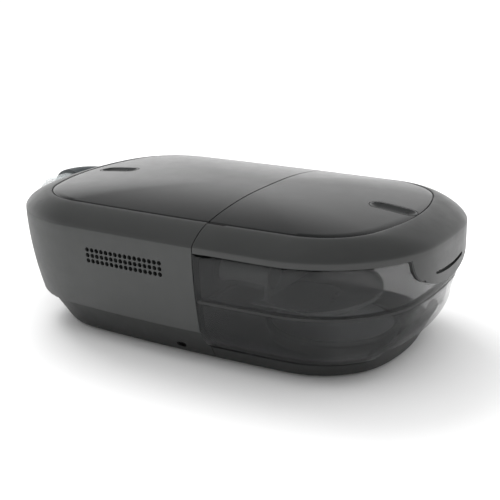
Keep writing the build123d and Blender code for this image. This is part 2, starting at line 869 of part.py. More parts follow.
with BuildPart() as tank_tub:
    add(beyond(hull(tank_outline, tub_heights), tank_x))
    with BuildPart(mode=Mode.PRIVATE) as tub_hollow:
        inner_heights = (tank_foot_z + tank_floor, *tub_heights[1:])
        add(beyond(hull(tank_outline, inner_heights, clear_wall), tank_x + clear_wall))
        add(tab_backing, mode=Mode.SUBTRACT)
    add(tub_hollow.part, mode=Mode.SUBTRACT)
    add(tab_space, mode=Mode.SUBTRACT)
    # opening in the floor for the metal plate
    add(
        bar_z([(heater_x, 0)], heater_radius - tank_floor, (plate_z - wall, plate_z + 2 * tank_floor)),
        mode=Mode.SUBTRACT,
    )
    add(
        bar_z([(heater_x, 0)], heater_radius + tank_floor, (plate_z - wall, plate_z + tank_plate_thickness)),
        mode=Mode.SUBTRACT,
    )
save(tank_tub, "tank_tub")

with BuildPart() as tank_base_plate:
    add(bar_z([(heater_x, 0)], heater_radius + tank_floor, (plate_z, plate_z + tank_plate_thickness)))
save(tank_base_plate, "tank_base_plate")

with BuildPart() as tank_gasket:
    gasket_heights = (ledge_z, hood_z)
    gasket_inset = clear_wall + ledge_width
    add(beyond(plate(tank_outline, gasket_heights, part_gap), tank_x + part_gap))
    add(
        beyond(plate(tank_outline, gasket_heights, gasket_inset), tank_x + gasket_inset),
        mode=Mode.SUBTRACT,
    )
save(tank_gasket, "tank_gasket")

with BuildPart() as tank_hood:
    add(beyond(hull(tank_outline, hood_heights), tank_x))
    add(tongue_space(0.0), mode=Mode.SUBTRACT)
    with BuildPart(mode=Mode.PRIVATE) as hood_hollow:
        hollow_heights = (*hood_heights[:-1], tank_top_z - clear_wall)
        add(beyond(hull(tank_outline, hollow_heights, clear_wall), tank_x + clear_wall))
        add(tongue_space(clear_wall), mode=Mode.SUBTRACT)
    add(hood_hollow.part, mode=Mode.SUBTRACT)
    for center in port_centers:
        add(bar_x(center, supply_bore_radius, (seam_x, tank_x + 2 * clear_wall)), mode=Mode.SUBTRACT)
    # the lid's lower corner sweeps past here as it opens
    add(lid_sweep, mode=Mode.SUBTRACT)
save(tank_hood, "tank_hood")

baffle_z = hood_z
lip_foot_z = baffle_z - lip_drop

with BuildPart() as tank_air_guide:
    guide_x = tank_x + clear_wall
    guide_outer = supply_bore_radius + air_guide_thickness
    guide_end_x = guide_x + air_guide_reach
    add(bar_x(port_centers[1], guide_outer, (guide_x, guide_end_x)))
    add(bar_x(port_centers[0], guide_outer, (guide_x, guide_end_x)))
    add(
        block(
            (guide_end_x - air_guide_thickness, guide_end_x),
            (supply_y - guide_outer, return_y + guide_outer),
            (hood_z + part_gap, supply_z),
        )
    )
    for center in port_centers:
        add(bar_x(center, supply_bore_radius, (seam_x, guide_end_x + 1)), mode=Mode.SUBTRACT)
    # round baffle over the water, cut off short at its left and near sides, with a lip below its edge
    baffle_box = (
        (baffle_left_x, baffle_center[0] + baffle_radius),
        (baffle_near_y, baffle_center[1] + baffle_radius),
    )
    for spans in ((baffle_z, baffle_z + baffle_thickness), (lip_foot_z, baffle_z)):
        with BuildPart(mode=Mode.PRIVATE) as disc:
            add(bar_z([baffle_center], baffle_radius, spans))
            add(block(*baffle_box, spans), mode=Mode.INTERSECT)
            if spans[0] == lip_foot_z:
                add(bar_z([baffle_center], baffle_radius - lip_width, spans), mode=Mode.SUBTRACT)
        add(disc.part)
    # straight rib across the baffle
    rib_span = (baffle_left_x, baffle_center[0] + baffle_radius - lip_width)
    rib_y = (baffle_center[1] - lip_width, baffle_center[1])
    add(block(rib_span, rib_y, (lip_foot_z, baffle_z)))
save(tank_air_guide, "tank_air_guide")

with BuildPart() as tank_port_seals:
    for center in port_centers:
        add(bar_x(center, supply_outer_radius + seal_width, (seam_x, tank_x)))
    for center in port_centers:
        add(bar_x(center, supply_bore_radius, (seam_x - 1, tank_x + 1)), mode=Mode.SUBTRACT)
save(tank_port_seals, "tank_port_seals")

# ---------------------------------------------------------------- heater
heater_top_z = plate_z - tank_contact_gap
element_z = heater_top_z - heater_plate_thickness - heater_element_thickness
spring_places = [
    (heater_x + 0.6 * heater_radius * cos(radians(turn)), 0.6 * heater_radius * sin(radians(turn)))
    for turn in (0, 120, 240)
]
with BuildPart() as heater_plate:
    add(bar_z([(heater_x, 0)], heater_radius - 1, (heater_top_z - heater_plate_thickness, heater_top_z)))
    fillet(heater_plate.edges().group_by(Axis.Z)[-1], 0.5)
save(heater_plate, "heater_plate")

with BuildPart() as heater_element:
    add(bar_z([(heater_x, 0)], heater_radius - 6, (element_z, element_z + heater_element_thickness)))
save(heater_element, "heater_element")

with BuildPart() as heater_springs:
    add(bar_z(spring_places, heater_spring_radius, (base_floor_z + insulator_thickness, element_z)))
    add(bar_z(spring_places, heater_spring_radius - 1, (foot_height, belt_z)), mode=Mode.SUBTRACT)
save(heater_springs, "heater_springs")

with BuildPart() as heater_insulator:
    add(bar_z([(heater_x, 0)], heater_radius, (base_floor_z, base_floor_z + insulator_thickness)))
save(heater_insulator, "heater_insulator")

# ---------------------------------------------------------------- chassis and electronics
with BuildPart() as chassis_plate:
    add(before(plate(wall_outline, (chassis_z, chassis_top_z), 2 * wall), end_wall_x - part_gap))
    add(bar_z(screw_places, screw_radius, (0, belt_z)), mode=Mode.SUBTRACT)
    add(
        block(
            (board_center[0] - 12, board_center[0] + 12), (board_size[1] / 4, board_size[1] / 2), (0, belt_z)
        ),
        mode=Mode.SUBTRACT,
    )
save(chassis_plate, "chassis_plate")

board_z = base_floor_z + board_standoff
with BuildPart() as main_board:
    with Locations((board_center[0], board_center[1], board_z)):
        Box(*board_size, align=(Align.CENTER, Align.CENTER, Align.MIN))
    with Locations((board_center[0], board_center[1], base_floor_z)):
        with GridLocations(board_size[0] - 10, board_size[1] - 10, 2, 2):
            Cylinder(2.5, board_standoff, align=(Align.CENTER, Align.CENTER, Align.MIN))
save(main_board, "main_board")

board_top_z = board_z + board_size[2]
with BuildPart() as board_parts:
    with BuildSketch(Plane.XY.offset(board_top_z)):
        with Locations(board_center):
            with Locations((-22, -20), (-6, -20), (14, -18)):
                Rectangle(10, 8)
            with Locations((-20, 16), (10, 10)):
                Rectangle(14, 14)
    extrude(amount=3)
    with BuildSketch(Plane.XY.offset(board_top_z)):
        with Locations(board_center):
            with Locations((-8, 4), (24, -6), (24, 8)):
                Circle(4)
    extrude(amount=9)
save(board_parts, "board_parts")

with BuildPart() as service_port:
    port_y = near_wall_y + bottom_setback[1] + wall + part_gap
    add(
        block(
            (service_port_place[0] - 5, service_port_place[0] + 5),
            (port_y, port_y + 5),
            (service_port_place[1] - 2.4, service_port_place[1] + 3),
        )
    )
    add(
        block(
            (service_port_place[0] - 2.6, service_port_place[0] + 2.6),
            (port_y - 1, port_y + 4),
            (service_port_place[1] - 1, service_port_place[1] + 1),
        ),
        mode=Mode.SUBTRACT,
    )
save(service_port, "service_port")

# ---------------------------------------------------------------- blower motor
blower_place = [(blower_x, blower_y)]
cup_z = chassis_top_z + mount_height
cup_floor_z = cup_z + motor_cup_wall
stator_z = cup_floor_z + bearing_height + air_gap
stator_top_z = stator_z + rotor_height
volute_z = supply_z - volute_height / 2
volute_top_z = volute_z + volute_height
cup_top_z = volute_z

with BuildPart() as motor_mounts:
    mounts = [
        (blower_x + 13 * cos(radians(turn)), blower_y + 13 * sin(radians(turn)))
        for turn in (90, 210, 330)
    ]
    add(bar_z(mounts, mount_radius, (chassis_top_z, cup_z)))
save(motor_mounts, "motor_mounts")

with BuildPart() as motor_cup:
    add(bar_z(blower_place, motor_cup_radius, (cup_z, cup_top_z)))
    add(bar_z(blower_place, motor_cup_radius - motor_cup_wall, (cup_floor_z, belt_z)), mode=Mode.SUBTRACT)
save(motor_cup, "motor_cup")

with BuildPart() as motor_bearings:
    add(bar_z(blower_place, bearing_radius, (cup_floor_z, cup_floor_z + bearing_height)))
    add(bar_z(blower_place, bearing_radius, (volute_z - bearing_height, volute_z)))
    add(bar_z(blower_place, shaft_radius + bearing_clearance, (0, belt_z)), mode=Mode.SUBTRACT)
save(motor_bearings, "motor_bearings")

with BuildPart() as motor_stator:
    add(bar_z(blower_place, stator_radius, (stator_z, stator_top_z)))
    add(bar_z(blower_place, rotor_radius + air_gap, (0, belt_z)), mode=Mode.SUBTRACT)
    with Locations((blower_x, blower_y, stator_z + rotor_height / 2)):
        with PolarLocations((stator_radius + rotor_radius + 2) / 2, 6):
            Box(3, 2.5, rotor_height, mode=Mode.SUBTRACT)
save(motor_stator, "motor_stator")

with BuildPart() as motor_rotor:
    add(bar_z(blower_place, rotor_radius, (stator_z, stator_top_z)))
    add(bar_z(blower_place, shaft_radius, (0, belt_z)), mode=Mode.SUBTRACT)
save(motor_rotor, "motor_rotor")

impeller_z = volute_z + volute_wall + impeller_gap + 1
with BuildPart() as motor_shaft:
    add(bar_z(blower_place, shaft_radius, (cup_floor_z + air_gap, impeller_z + impeller_height)))
save(motor_shaft, "motor_shaft")

with BuildPart() as bearing_bridge:
    add(bar_z(blower_place, motor_cup_radius - motor_cup_wall, (volute_z - bearing_height, volute_z)))
    add(bar_z(blower_place, bearing_radius, (0, belt_z)), mode=Mode.SUBTRACT)
    with Locations((blower_x, blower_y, volute_z - bearing_height / 2)):
        with PolarLocations((motor_cup_radius + bearing_radius) / 2, 3):
            Cylinder(4, bearing_height, mode=Mode.SUBTRACT)
save(bearing_bridge, "bearing_bridge")

with BuildPart() as impeller_blade:
    with BuildSketch():
        with BuildLine():
            front = ThreePointArc(
                (bearing_radius - 1, 0),
                (impeller_radius / 2, impeller_radius / 6),
                (impeller_radius * 0.96, 0),
            )
            back = ThreePointArc(
                (bearing_radius - 1, 1), (impeller_radius / 2, impeller_radius / 6 + 1.2), front @ 1
            )
            Line(front @ 0, back @ 0)
        make_face()
    extrude(amount=impeller_height)

with BuildPart() as impeller:
    add(bar_z(blower_place, impeller_radius, (impeller_z, impeller_z + 1.2)))
    add(bar_z(blower_place, bearing_radius, (impeller_z, impeller_z + impeller_height)))
    with Locations((blower_x, blower_y, impeller_z)):
        with PolarLocations(0, impeller_blades):
            add(impeller_blade.part)
    add(bar_z(blower_place, shaft_radius, (0, belt_z)), mode=Mode.SUBTRACT)
save(impeller, "impeller")

outlet_span = (blower_x, blower_x + volute_radius + 8)
volute_split_z = supply_z


def volute_shell():
    """Return the whole volute: a round casing with a tangent outlet pipe along X."""
    with BuildPart() as shell:
        add(bar_z(blower_place, volute_radius, (volute_z, volute_top_z)))
        add(bar_x((supply_y, supply_z), supply_outer_radius, outlet_span))
        chamber_span = (volute_z + volute_wall, volute_top_z - volute_wall)
        add(bar_z(blower_place, volute_radius - volute_wall, chamber_span), mode=Mode.SUBTRACT)
        add(bar_x((supply_y, supply_z), supply_bore_radius, outlet_span), mode=Mode.SUBTRACT)
        add(bar_z(blower_place, volute_inlet_radius, (supply_z, belt_z)), mode=Mode.SUBTRACT)
        add(bar_z(blower_place, bearing_radius + 1, (0, supply_z)), mode=Mode.SUBTRACT)
    return shell.part


volute = volute_shell()
with BuildPart() as volute_lower:
    add(split(volute, bisect_by=Plane.XY.offset(volute_split_z), keep=Keep.BOTTOM, mode=Mode.PRIVATE))
save(volute_lower, "volute_lower")

with BuildPart() as volute_upper:
    add(split(volute, bisect_by=Plane.XY.offset(volute_split_z), keep=Keep.TOP, mode=Mode.PRIVATE))
save(volute_upper, "volute_upper")

with BuildPart() as muffler_foam:
    foam_z = (volute_top_z + 1, belt_z)
    foam_x = (start_button_x + switch_size, blower_x + volute_radius)
    foam_y = (filter_center[0] - filter_cover_size[0] / 2, return_y - return_outer_radius - 1)
    add(block(foam_x, foam_y, foam_z))
    add(bar_z(blower_place, volute_inlet_radius, (0, crown_top_z)), mode=Mode.SUBTRACT)
save(muffler_foam, "muffler_foam")

# ---------------------------------------------------------------- air ducts and outlet
with BuildPart() as supply_duct:
    supply_span = (outlet_span[1], seam_x)
    add(bar_x((supply_y, supply_z), supply_outer_radius, supply_span))
    add(bar_x((supply_y, supply_z), supply_bore_radius, supply_span), mode=Mode.SUBTRACT)
save(supply_duct, "supply_duct")



def return_run(radius):
    """Return a round bar from the tank port, rising a little to the outlet port."""
    ends = []
    for x, z in ((port_inner_x, return_z), (seam_x, return_port_z)):
        with BuildSketch(Plane.YZ.offset(x)) as end:
            with Locations((return_y, z)):
                Circle(radius)
        ends.append(end.sketch)
    return loft(ends, mode=Mode.PRIVATE)


with BuildPart() as return_duct:
    add(return_run(return_outer_radius))
    add(return_run(return_bore_radius), mode=Mode.SUBTRACT)
save(return_duct, "return_duct")

with BuildPart() as flow_sensor:
    sensor_x = blower_x / 2
    sensor_z = return_port_z - return_outer_radius - 6
    add(block((sensor_x - 9, sensor_x + 9), (return_y - 6, return_y + 6), (sensor_z, sensor_z + 8)))
    add(return_run(return_outer_radius), mode=Mode.SUBTRACT)
save(flow_sensor, "flow_sensor")

with BuildPart() as outlet_port:
    add(bar_x((return_y, return_z), port_collar_radius, (port_face_x - 1, port_inner_x)))
    add(
        bar_x((return_y, return_z), spigot_radius + spigot_clearance, (port_face_x - 2, port_inner_x + 1)),
        mode=Mode.SUBTRACT,
    )
save(outlet_port, "outlet_port")

bend_x = port_face_x - 1 - elbow_standoff
elbow_x = bend_x - elbow_bend_radius
bend_end_y = return_y - elbow_bend_radius
groove_x = port_inner_x - 5.0


def elbow_sweep(radius):
    """Return a round bar that follows the elbow's centre line round its bend."""
    with BuildPart() as bar:
        with BuildLine():
            ThreePointArc(
                (bend_x, return_y, return_z),
                (
                    bend_x - elbow_bend_radius * sin(radians(45)),
                    bend_end_y + elbow_bend_radius * cos(radians(45)),
                    return_z,
                ),
                (elbow_x, bend_end_y, return_z),
            )
        with BuildSketch(Plane((bend_x, return_y, return_z), z_dir=(-1, 0, 0))):
            Circle(radius)
        sweep()
    return bar.part


with BuildPart() as swivel_elbow:
    add(elbow_sweep(elbow_radius))
    add(bar_x((return_y, return_z), spigot_radius, (bend_x, port_inner_x - 0.5)))
    add(bar_y((elbow_x, return_z), elbow_radius, (bend_end_y - 2, bend_end_y)))
    add(elbow_sweep(elbow_bore_radius), mode=Mode.SUBTRACT)
    add(bar_x((return_y, return_z), elbow_bore_radius, (bend_x, port_inner_x)), mode=Mode.SUBTRACT)
    add(bar_y((elbow_x, return_z), elbow_bore_radius, (bend_end_y - 3, bend_end_y)), mode=Mode.SUBTRACT)
    # groove for the O-ring
    add(bar_x((return_y, return_z), spigot_radius + 1, (groove_x, groove_x + 2)), mode=Mode.SUBTRACT)
    add(bar_x((return_y, return_z), spigot_radius - o_ring_section, (groove_x, groove_x + 2)))
    add(bar_x((return_y, return_z), elbow_bore_radius, (groove_x, groove_x + 2)), mode=Mode.SUBTRACT)
save(swivel_elbow, "swivel_elbow")

with BuildPart() as elbow_o_ring:
    add(bar_x((return_y, return_z), spigot_radius, (groove_x + 0.2, groove_x + 1.8)))
    add(
        bar_x((return_y, return_z), spigot_radius - o_ring_section, (groove_x, groove_x + 2)),
        mode=Mode.SUBTRACT,
    )
save(elbow_o_ring, "elbow_o_ring")

cuff_end_y = bend_end_y - 2 - cuff_length
with BuildPart() as hose_cuff:
    cuff_span = (cuff_end_y, bend_end_y - 2)
    add(bar_y((elbow_x, return_z), cuff_radius, cuff_span))
    add(bar_y((elbow_x, return_z), cuff_bore_radius, cuff_span), mode=Mode.SUBTRACT)
save(hose_cuff, "hose_cuff")

# ---------------------------------------------------------------- far-side controls
display_low_z = display_z - display_size[1] / 2 - bezel_border
display_share = (belt_z - display_low_z) / (belt_z - wall_foot_z)
module_face_y = far_wall_y - wall_foot_setback[1] * display_share ** wall_curve[1] - 2 * wall
bezel_size = (
    display_size[0] + 2 * bezel_border - 2 * part_gap,
    display_size[1] + 2 * bezel_border - 2 * part_gap,
)


def display_prism(size, corner, y_span):
    """Return a rounded prism along Y about the display's centre."""
    with BuildPart() as prism:
        with BuildSketch(Plane.XZ.offset(-y_span[1])):
            with Locations((display_x, display_z)):
                RectangleRounded(size[0], size[1], corner)
        extrude(amount=y_span[1] - y_span[0])
    return prism.part


bezel_span = (module_face_y - module_thickness, far_wall_y + wall)
with BuildPart() as display_bezel:
    add(display_prism(bezel_size, 4 - part_gap, bezel_span))
    add(wall_block, mode=Mode.INTERSECT)
    add(display_prism(display_size, 1.5, bezel_span), mode=Mode.SUBTRACT)
save(display_bezel, "display_bezel")

with BuildPart() as display_lens:
    add(display_prism(display_size, 1.5, bezel_span))
    add(wall_block, mode=Mode.INTERSECT)
    add(hull(wall_outline, wall_heights, lens_thickness), mode=Mode.SUBTRACT)
save(display_lens, "display_lens")

with BuildPart() as display_module:
    module_size = (display_size[0] - 2, display_size[1] - 2)
    add(display_prism(module_size, 1, (module_face_y - module_thickness, module_face_y)))
save(display_module, "display_module")

knob_face_y = far_wall_y + knob_gap / 2
with BuildPart() as control_knob:
    add(bar_y((knob_x, display_z), knob_radius, (knob_face_y, knob_face_y + knob_height)))
    chamfer(control_knob.edges().group_by(Axis.Y)[-1], 0.8)
    with Locations(Plane.XZ.offset(-knob_face_y - knob_height / 2)):
        with Locations((knob_x, display_z)):
            with PolarLocations(knob_radius + 0.5, 24):
                Cylinder(0.9, knob_height, mode=Mode.SUBTRACT)
    add(bar_y((knob_x, display_z), knob_radius / 4, (encoder_face_y + part_gap, knob_face_y)))
save(control_knob, "control_knob")

with BuildPart() as knob_encoder:
    add(
        block(
            (knob_x - 6, knob_x + 6),
            (encoder_face_y - 6, encoder_face_y),
            (display_z - 6, display_z + 6),
        )
    )
save(knob_encoder, "knob_encoder")

card_face_y = far_wall_y - wall_foot_setback[1]
with BuildPart() as memory_card:
    add(
        block(
            (display_x - card_size[0] / 2, display_x + card_size[0] / 2),
            (card_face_y - card_size[2], card_face_y),
            (card_z - card_size[1] / 2, card_z + card_size[1] / 2),
        )
    )
    chamfer(memory_card.edges().filter_by(Axis.Z).group_by(Axis.Y)[0][0], 3)
save(memory_card, "memory_card")

with BuildPart() as card_socket:
    socket_wall = 1.2
    socket_span = (card_face_y - card_size[2] - part_gap - socket_wall, card_face_y - 5 * wall)
    card_half = card_size[0] / 2 + card_clearance
    card_rise = card_size[1] / 2 + card_clearance
    add(
        block(
            (display_x - card_half - socket_wall, display_x + card_half + socket_wall),
            socket_span,
            (chassis_top_z, card_z + card_rise + socket_wall),
        )
    )
    add(
        block(
            (display_x - card_half, display_x + card_half),
            (socket_span[0] + socket_wall, socket_span[1] + 1),
            (card_z - card_rise, card_z + card_rise),
        ),
        mode=Mode.SUBTRACT,
    )
save(card_socket, "card_socket")

power_face_x = -end_reach(*power_center) + part_gap
with BuildPart() as power_inlet:
    add(bar_x(power_center, power_body_radius - part_gap, (power_face_x, power_face_x + power_depth + 4)))
    bore_span = (power_face_x, power_face_x + power_depth)
    add(bar_x(power_center, power_bore_radius, bore_span), mode=Mode.SUBTRACT)
save(power_inlet, "power_inlet")
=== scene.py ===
"""The looks of a bedside ventilator with a built-in humidifier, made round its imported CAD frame.

The frame is in metres. The shells are lofted here in millimetres from the same outlines as the
CAD model, with softened edges, and scaled to metres as they are made.
"""

import json
from math import atan2, cos, pi, radians, sin, sqrt

import bmesh
import bpy
from mathutils import Matrix, Vector


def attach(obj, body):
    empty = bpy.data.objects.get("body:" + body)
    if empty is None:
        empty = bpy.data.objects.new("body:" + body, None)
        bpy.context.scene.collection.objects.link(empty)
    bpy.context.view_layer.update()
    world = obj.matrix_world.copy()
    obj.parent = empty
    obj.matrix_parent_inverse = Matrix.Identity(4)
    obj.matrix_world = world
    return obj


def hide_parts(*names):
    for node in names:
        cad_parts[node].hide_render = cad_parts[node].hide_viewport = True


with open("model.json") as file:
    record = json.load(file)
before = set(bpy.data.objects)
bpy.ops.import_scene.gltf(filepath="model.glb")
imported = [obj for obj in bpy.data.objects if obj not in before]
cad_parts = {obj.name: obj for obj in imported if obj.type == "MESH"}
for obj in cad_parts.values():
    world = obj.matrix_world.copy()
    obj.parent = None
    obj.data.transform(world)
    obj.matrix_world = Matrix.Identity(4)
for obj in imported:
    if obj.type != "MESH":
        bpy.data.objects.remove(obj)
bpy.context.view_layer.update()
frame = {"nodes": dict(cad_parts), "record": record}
MM = 0.001

# ---------------------------------------------------------------- sizes of the body, in millimetres
FOOT_Z = 1.2
WALL_FOOT_Z = 21.4
BELT_Z = 71.8
PANEL_EDGE_Z = 81.4
CROWN_HEIGHT = 6.2
CROWN_POWER = 2.55
SHOULDER_POWER = 1.5
WALL_CURVE = (1.64, 1.75)
HALF_LENGTH = 133.0
HALF_WIDTH = 84.6
BELT = (0.0, 0.0, 13.0, 2.0, 70.0)
WALL_FOOT = (11.6, 6.6, 12.2, 7.2, 51.7)
SKIRT_TOP = (13.1, 10.4, 11.9, 5.8, 49.5)
SKIRT_FOOT = (23.4, 22.0, 15.1, 3.9, 44.5)
PANEL = (19.5, 16.1, 17.9, 1.8, 38.0)
WALL = 2.4
CLEAR_WALL = 2.2
SEAM_X = 21.0
SEAM_GAP = 0.6
LID_X = SEAM_X + SEAM_GAP
LID_BOTTOM_Z = BELT_Z - 3.0
TANK_TOP_Z = LID_BOTTOM_Z - 0.5
LEDGE_Z = 40.0
HOOD_Z = LEDGE_Z + 1.6
TRAY_Z = 9.6
TANK_FOOT_Z = TRAY_Z + 0.3
TONGUE_HALF = 41.5
TONGUE_TIP_HALF = 38.3
TONGUE_TIP_Z = 48.6
TONGUE_RISE = 10.0
TONGUE_CORNER = 6.0
START_X = -89.5
RELEASE_X = 98.5
BUTTON_SIZE = (28.5, 12.5)
RETURN_Y = 33.0
OUTLET_Z = 61.0
RETURN_PORT = (RETURN_Y, 57.0)
SUPPLY_PORT = (-54.0, 52.0)
COLLAR_R = 14.2
COLLAR_SPAN = (-140.0, -117.2)
CUFF_X = -146.2
HEATER_X = 63.0
HINGE_LUGS = (-36, -14, 8, 30)

# How many steps a quarter of an outline takes along its end, its corner and its side
QUARTER = (8, 30, 24)


def mix(start, end, share):
    return start + (end - start) * share


def mixed(first, second, share_x, share_y):
    """Blend two outline shapes: the ends by one share, the sides by another."""
    shares = (share_x, share_y, share_x, share_y, share_x)
    return tuple(mix(a, b, s) for a, b, s in zip(first, second, shares))


# ---------------------------------------------------------------- outlines
def outline(shape, z, inset=0.0, scale=1.0):
    """Return the points of a rounded rectangle with bowed sides.

    A shape is its setback along X and Y from the belt, the bow of its ends and of its sides, and
    its corner radius.
    """
    half_x = (HALF_LENGTH - shape[0]) * scale - inset
    half_y = (HALF_WIDTH - shape[1]) * scale - inset
    bow_x, bow_y = shape[2] * scale, shape[3] * scale
    corner = max(shape[4] * scale - inset, 0.05)
    chord_x, chord_y = half_y - bow_y, half_x - bow_x
    end_r = (chord_x**2 + bow_x**2) / (2 * bow_x)
    side_r = (chord_y**2 + bow_y**2) / (2 * bow_y)
    end_c = Vector((half_x - end_r, 0.0))
    side_c = Vector((0.0, half_y - side_r))
    corner_c = meet(end_c, end_r - corner, side_c, side_r - corner)
    turn_1 = atan2(*reversed(corner_c - end_c))
    turn_2 = atan2(*reversed(corner_c - side_c))
    quarter = []
    for center, radius, low, high, steps in (
        (end_c, end_r, 0.0, turn_1, QUARTER[0]),
        (corner_c, corner, turn_1, turn_2, QUARTER[1]),
        (side_c, side_r, turn_2, pi / 2, QUARTER[2]),
    ):
        for step in range(steps):
            turn = mix(low, high, step / steps)
            quarter.append((center[0] + radius * cos(turn), center[1] + radius * sin(turn)))
    top = (0.0, half_y)
    upper = quarter + [top] + [(-x, y) for x, y in reversed(quarter[1:])]
    lower = [(-half_x, 0.0)] + [(-x, -y) for x, y in quarter[1:]]
    lower += [(0.0, -half_y)] + [(x, -y) for x, y in reversed(quarter[1:])]
    return [Vector((x, y, z)) for x, y in upper + lower]


def meet(first, first_r, second, second_r):
    """Return where two circles cross, on the side away from the origin."""
    gap = (second - first).length
    along = (first_r**2 - second_r**2 + gap**2) / (2 * gap)
    across = sqrt(max(first_r**2 - along**2, 0.0))
    axis = (second - first) / gap
    base = first + axis * along
    spots = [base + Vector((-axis[1], axis[0])) * across * side for side in (1, -1)]
    return max(spots, key=lambda spot: spot[0] + spot[1])


def wall_ring(z, inset=0.0):
    """Outline of the leaning side wall."""
    share = max(0.0, (BELT_Z - z) / (BELT_Z - WALL_FOOT_Z))
    return outline(mixed(BELT, WALL_FOOT, share ** WALL_CURVE[0], share ** WALL_CURVE[1]), z, inset)


def skirt_ring(z, inset=0.0):
    """Outline of the tapering skirt."""
    share = (WALL_FOOT_Z - z) / (WALL_FOOT_Z - FOOT_Z)
    return outline(mixed(SKIRT_TOP, SKIRT_FOOT, share, share), z, inset)


def shoulder_ring(turn, inset=0.0, drop=0.0):
    """Outline of the shoulder: turn 0 is the belt, turn 90 the edge of the top panel."""
    share = 1.0 - max(0.0, cos(radians(turn))) ** SHOULDER_POWER
    z = BELT_Z + (PANEL_EDGE_Z - BELT_Z) * max(0.0, sin(radians(turn))) ** SHOULDER_POWER
    return outline(mixed(BELT, PANEL, share, share), z - drop, inset)


def crown_height(share):
    return PANEL_EDGE_Z + CROWN_HEIGHT * (1.0 - share**CROWN_POWER)


def crown_ring(share, inset=0.0, drop=0.0):
    """Outline of the crowned top at a share of its size."""
    return outline(PANEL, crown_height(share) - drop, inset, share)


def tank_ring(z, inset=0.0):
    """Outline of the tank: the side wall down to a knee, then rounding in to the tray."""
    knee_z = mix(WALL_FOOT_Z, LEDGE_Z, 0.4)
    if z >= knee_z:
        return wall_ring(z, inset)
    share = ((knee_z - z) / (knee_z - TRAY_Z)) ** 2.2
    knee = (BELT_Z - knee_z) / (BELT_Z - WALL_FOOT_Z)
    knee_shape = tuple(WALL_FOOT[k] * knee ** WALL_CURVE[k] for k in (0, 1)) + WALL_FOOT[2:]
    foot = (WALL_FOOT_Z - TRAY_Z) / (WALL_FOOT_Z - FOOT_Z)
    foot_shape = tuple(mix(SKIRT_TOP[k], SKIRT_FOOT[k], foot) for k in (0, 1)) + SKIRT_FOOT[2:]
    return outline(mixed(knee_shape, foot_shape, share, share), z, inset)


# ---------------------------------------------------------------- meshes
def piece(name, bm, smooth_angle=32.0):
    """Turn a bmesh in millimetres into an object in metres, with hard edges where it turns."""
    bmesh.ops.remove_doubles(bm, verts=bm.verts, dist=0.002)
    bmesh.ops.recalc_face_normals(bm, faces=bm.faces)
    for face in bm.faces:
        face.smooth = True
    for edge in bm.edges:
        edge.smooth = edge.calc_face_angle(0.0) < radians(smooth_angle)
    bmesh.ops.scale(bm, vec=(MM, MM, MM), verts=bm.verts)
    mesh = bpy.data.meshes.new(name)
    bm.to_mesh(mesh)
    bm.free()
    obj = bpy.data.objects.new(name, mesh)
    bpy.context.scene.collection.objects.link(obj)
    return obj


def loft(rings, closed=False, caps=(True, True)):
    """Return a bmesh that joins rings of equal length in order."""
    bm = bmesh.new()
    rows = [[bm.verts.new(point) for point in ring] for ring in rings]
    pairs = list(zip(rows, rows[1:]))
    if closed:
        pairs.append((rows[-1], rows[0]))
    count = len(rows[0])
    for low, high in pairs:
        for k in range(count):
            following = (k + 1) % count
            bm.faces.new((low[k], low[following], high[following], high[k]))
    if not closed and caps[0]:
        bm.faces.new(list(reversed(rows[0])))
    if not closed and caps[1]:
        bm.faces.new(rows[-1])
    bmesh.ops.recalc_face_normals(bm, faces=bm.faces)
    return bm


def cut(bm, point, normal):
    """Cut a bmesh with a plane, drop what lies in front of it and close the cut."""
    geometry = bm.verts[:] + bm.edges[:] + bm.faces[:]
    made = bmesh.ops.bisect_plane(
        bm, geom=geometry, plane_co=point, plane_no=normal, clear_outer=True, dist=0.0001
    )
    edges = [item for item in made["geom_cut"] if isinstance(item, bmesh.types.BMEdge)]
    bmesh.ops.triangle_fill(bm, edges=edges, use_beauty=True)
    return bm


def blower_side(bm, x=SEAM_X):
    return cut(bm, (x, 0, 0), (1, 0, 0))


def tank_side(bm, x=LID_X):
    return cut(bm, (x, 0, 0), (-1, 0, 0))


def box_mesh(low, high):
    bm = bmesh.new()
    bmesh.ops.create_cube(bm, size=1.0)
    for vert in bm.verts:
        for k in range(3):
            vert.co[k] = mix(low[k], high[k], vert.co[k] + 0.5)
    return bm


def merge(target, source):
    """Add a bmesh to another."""
    mesh = bpy.data.meshes.new("merged")
    source.to_mesh(mesh)
    source.free()
    target.from_mesh(mesh)
    bpy.data.meshes.remove(mesh)
    return target


def apply_modifiers(obj):
    graph = bpy.context.evaluated_depsgraph_get()
    mesh = bpy.data.meshes.new_from_object(obj.evaluated_get(graph))
    old = obj.data
    obj.modifiers.clear()
    obj.data = mesh
    bpy.data.meshes.remove(old)


def carve(obj, cutters, operation="DIFFERENCE"):
    """Cut (or join) closed bmeshes in millimetres with an object."""
    bm = bmesh.new()
    for cutter in cutters:
        merge(bm, cutter)
    tool = piece("tool", bm)
    modifier = obj.modifiers.new("carve", "BOOLEAN")
    modifier.object = tool
    modifier.operation = operation
    modifier.solver = "EXACT"
    modifier.use_self = True
    apply_modifiers(obj)
    bpy.data.objects.remove(tool)
    resmooth(obj)
    return obj


def soften(obj, width, segments=2, angle=38.0):
    """Round an object's sharp edges."""
    modifier = obj.modifiers.new("soften", "BEVEL")
    modifier.width = width * MM
    modifier.segments = segments
    modifier.limit_method = "ANGLE"
    modifier.angle_limit = radians(angle)
    modifier.use_clamp_overlap = True
    modifier.miter_outer = "MITER_ARC"
    apply_modifiers(obj)
    resmooth(obj)
    return obj


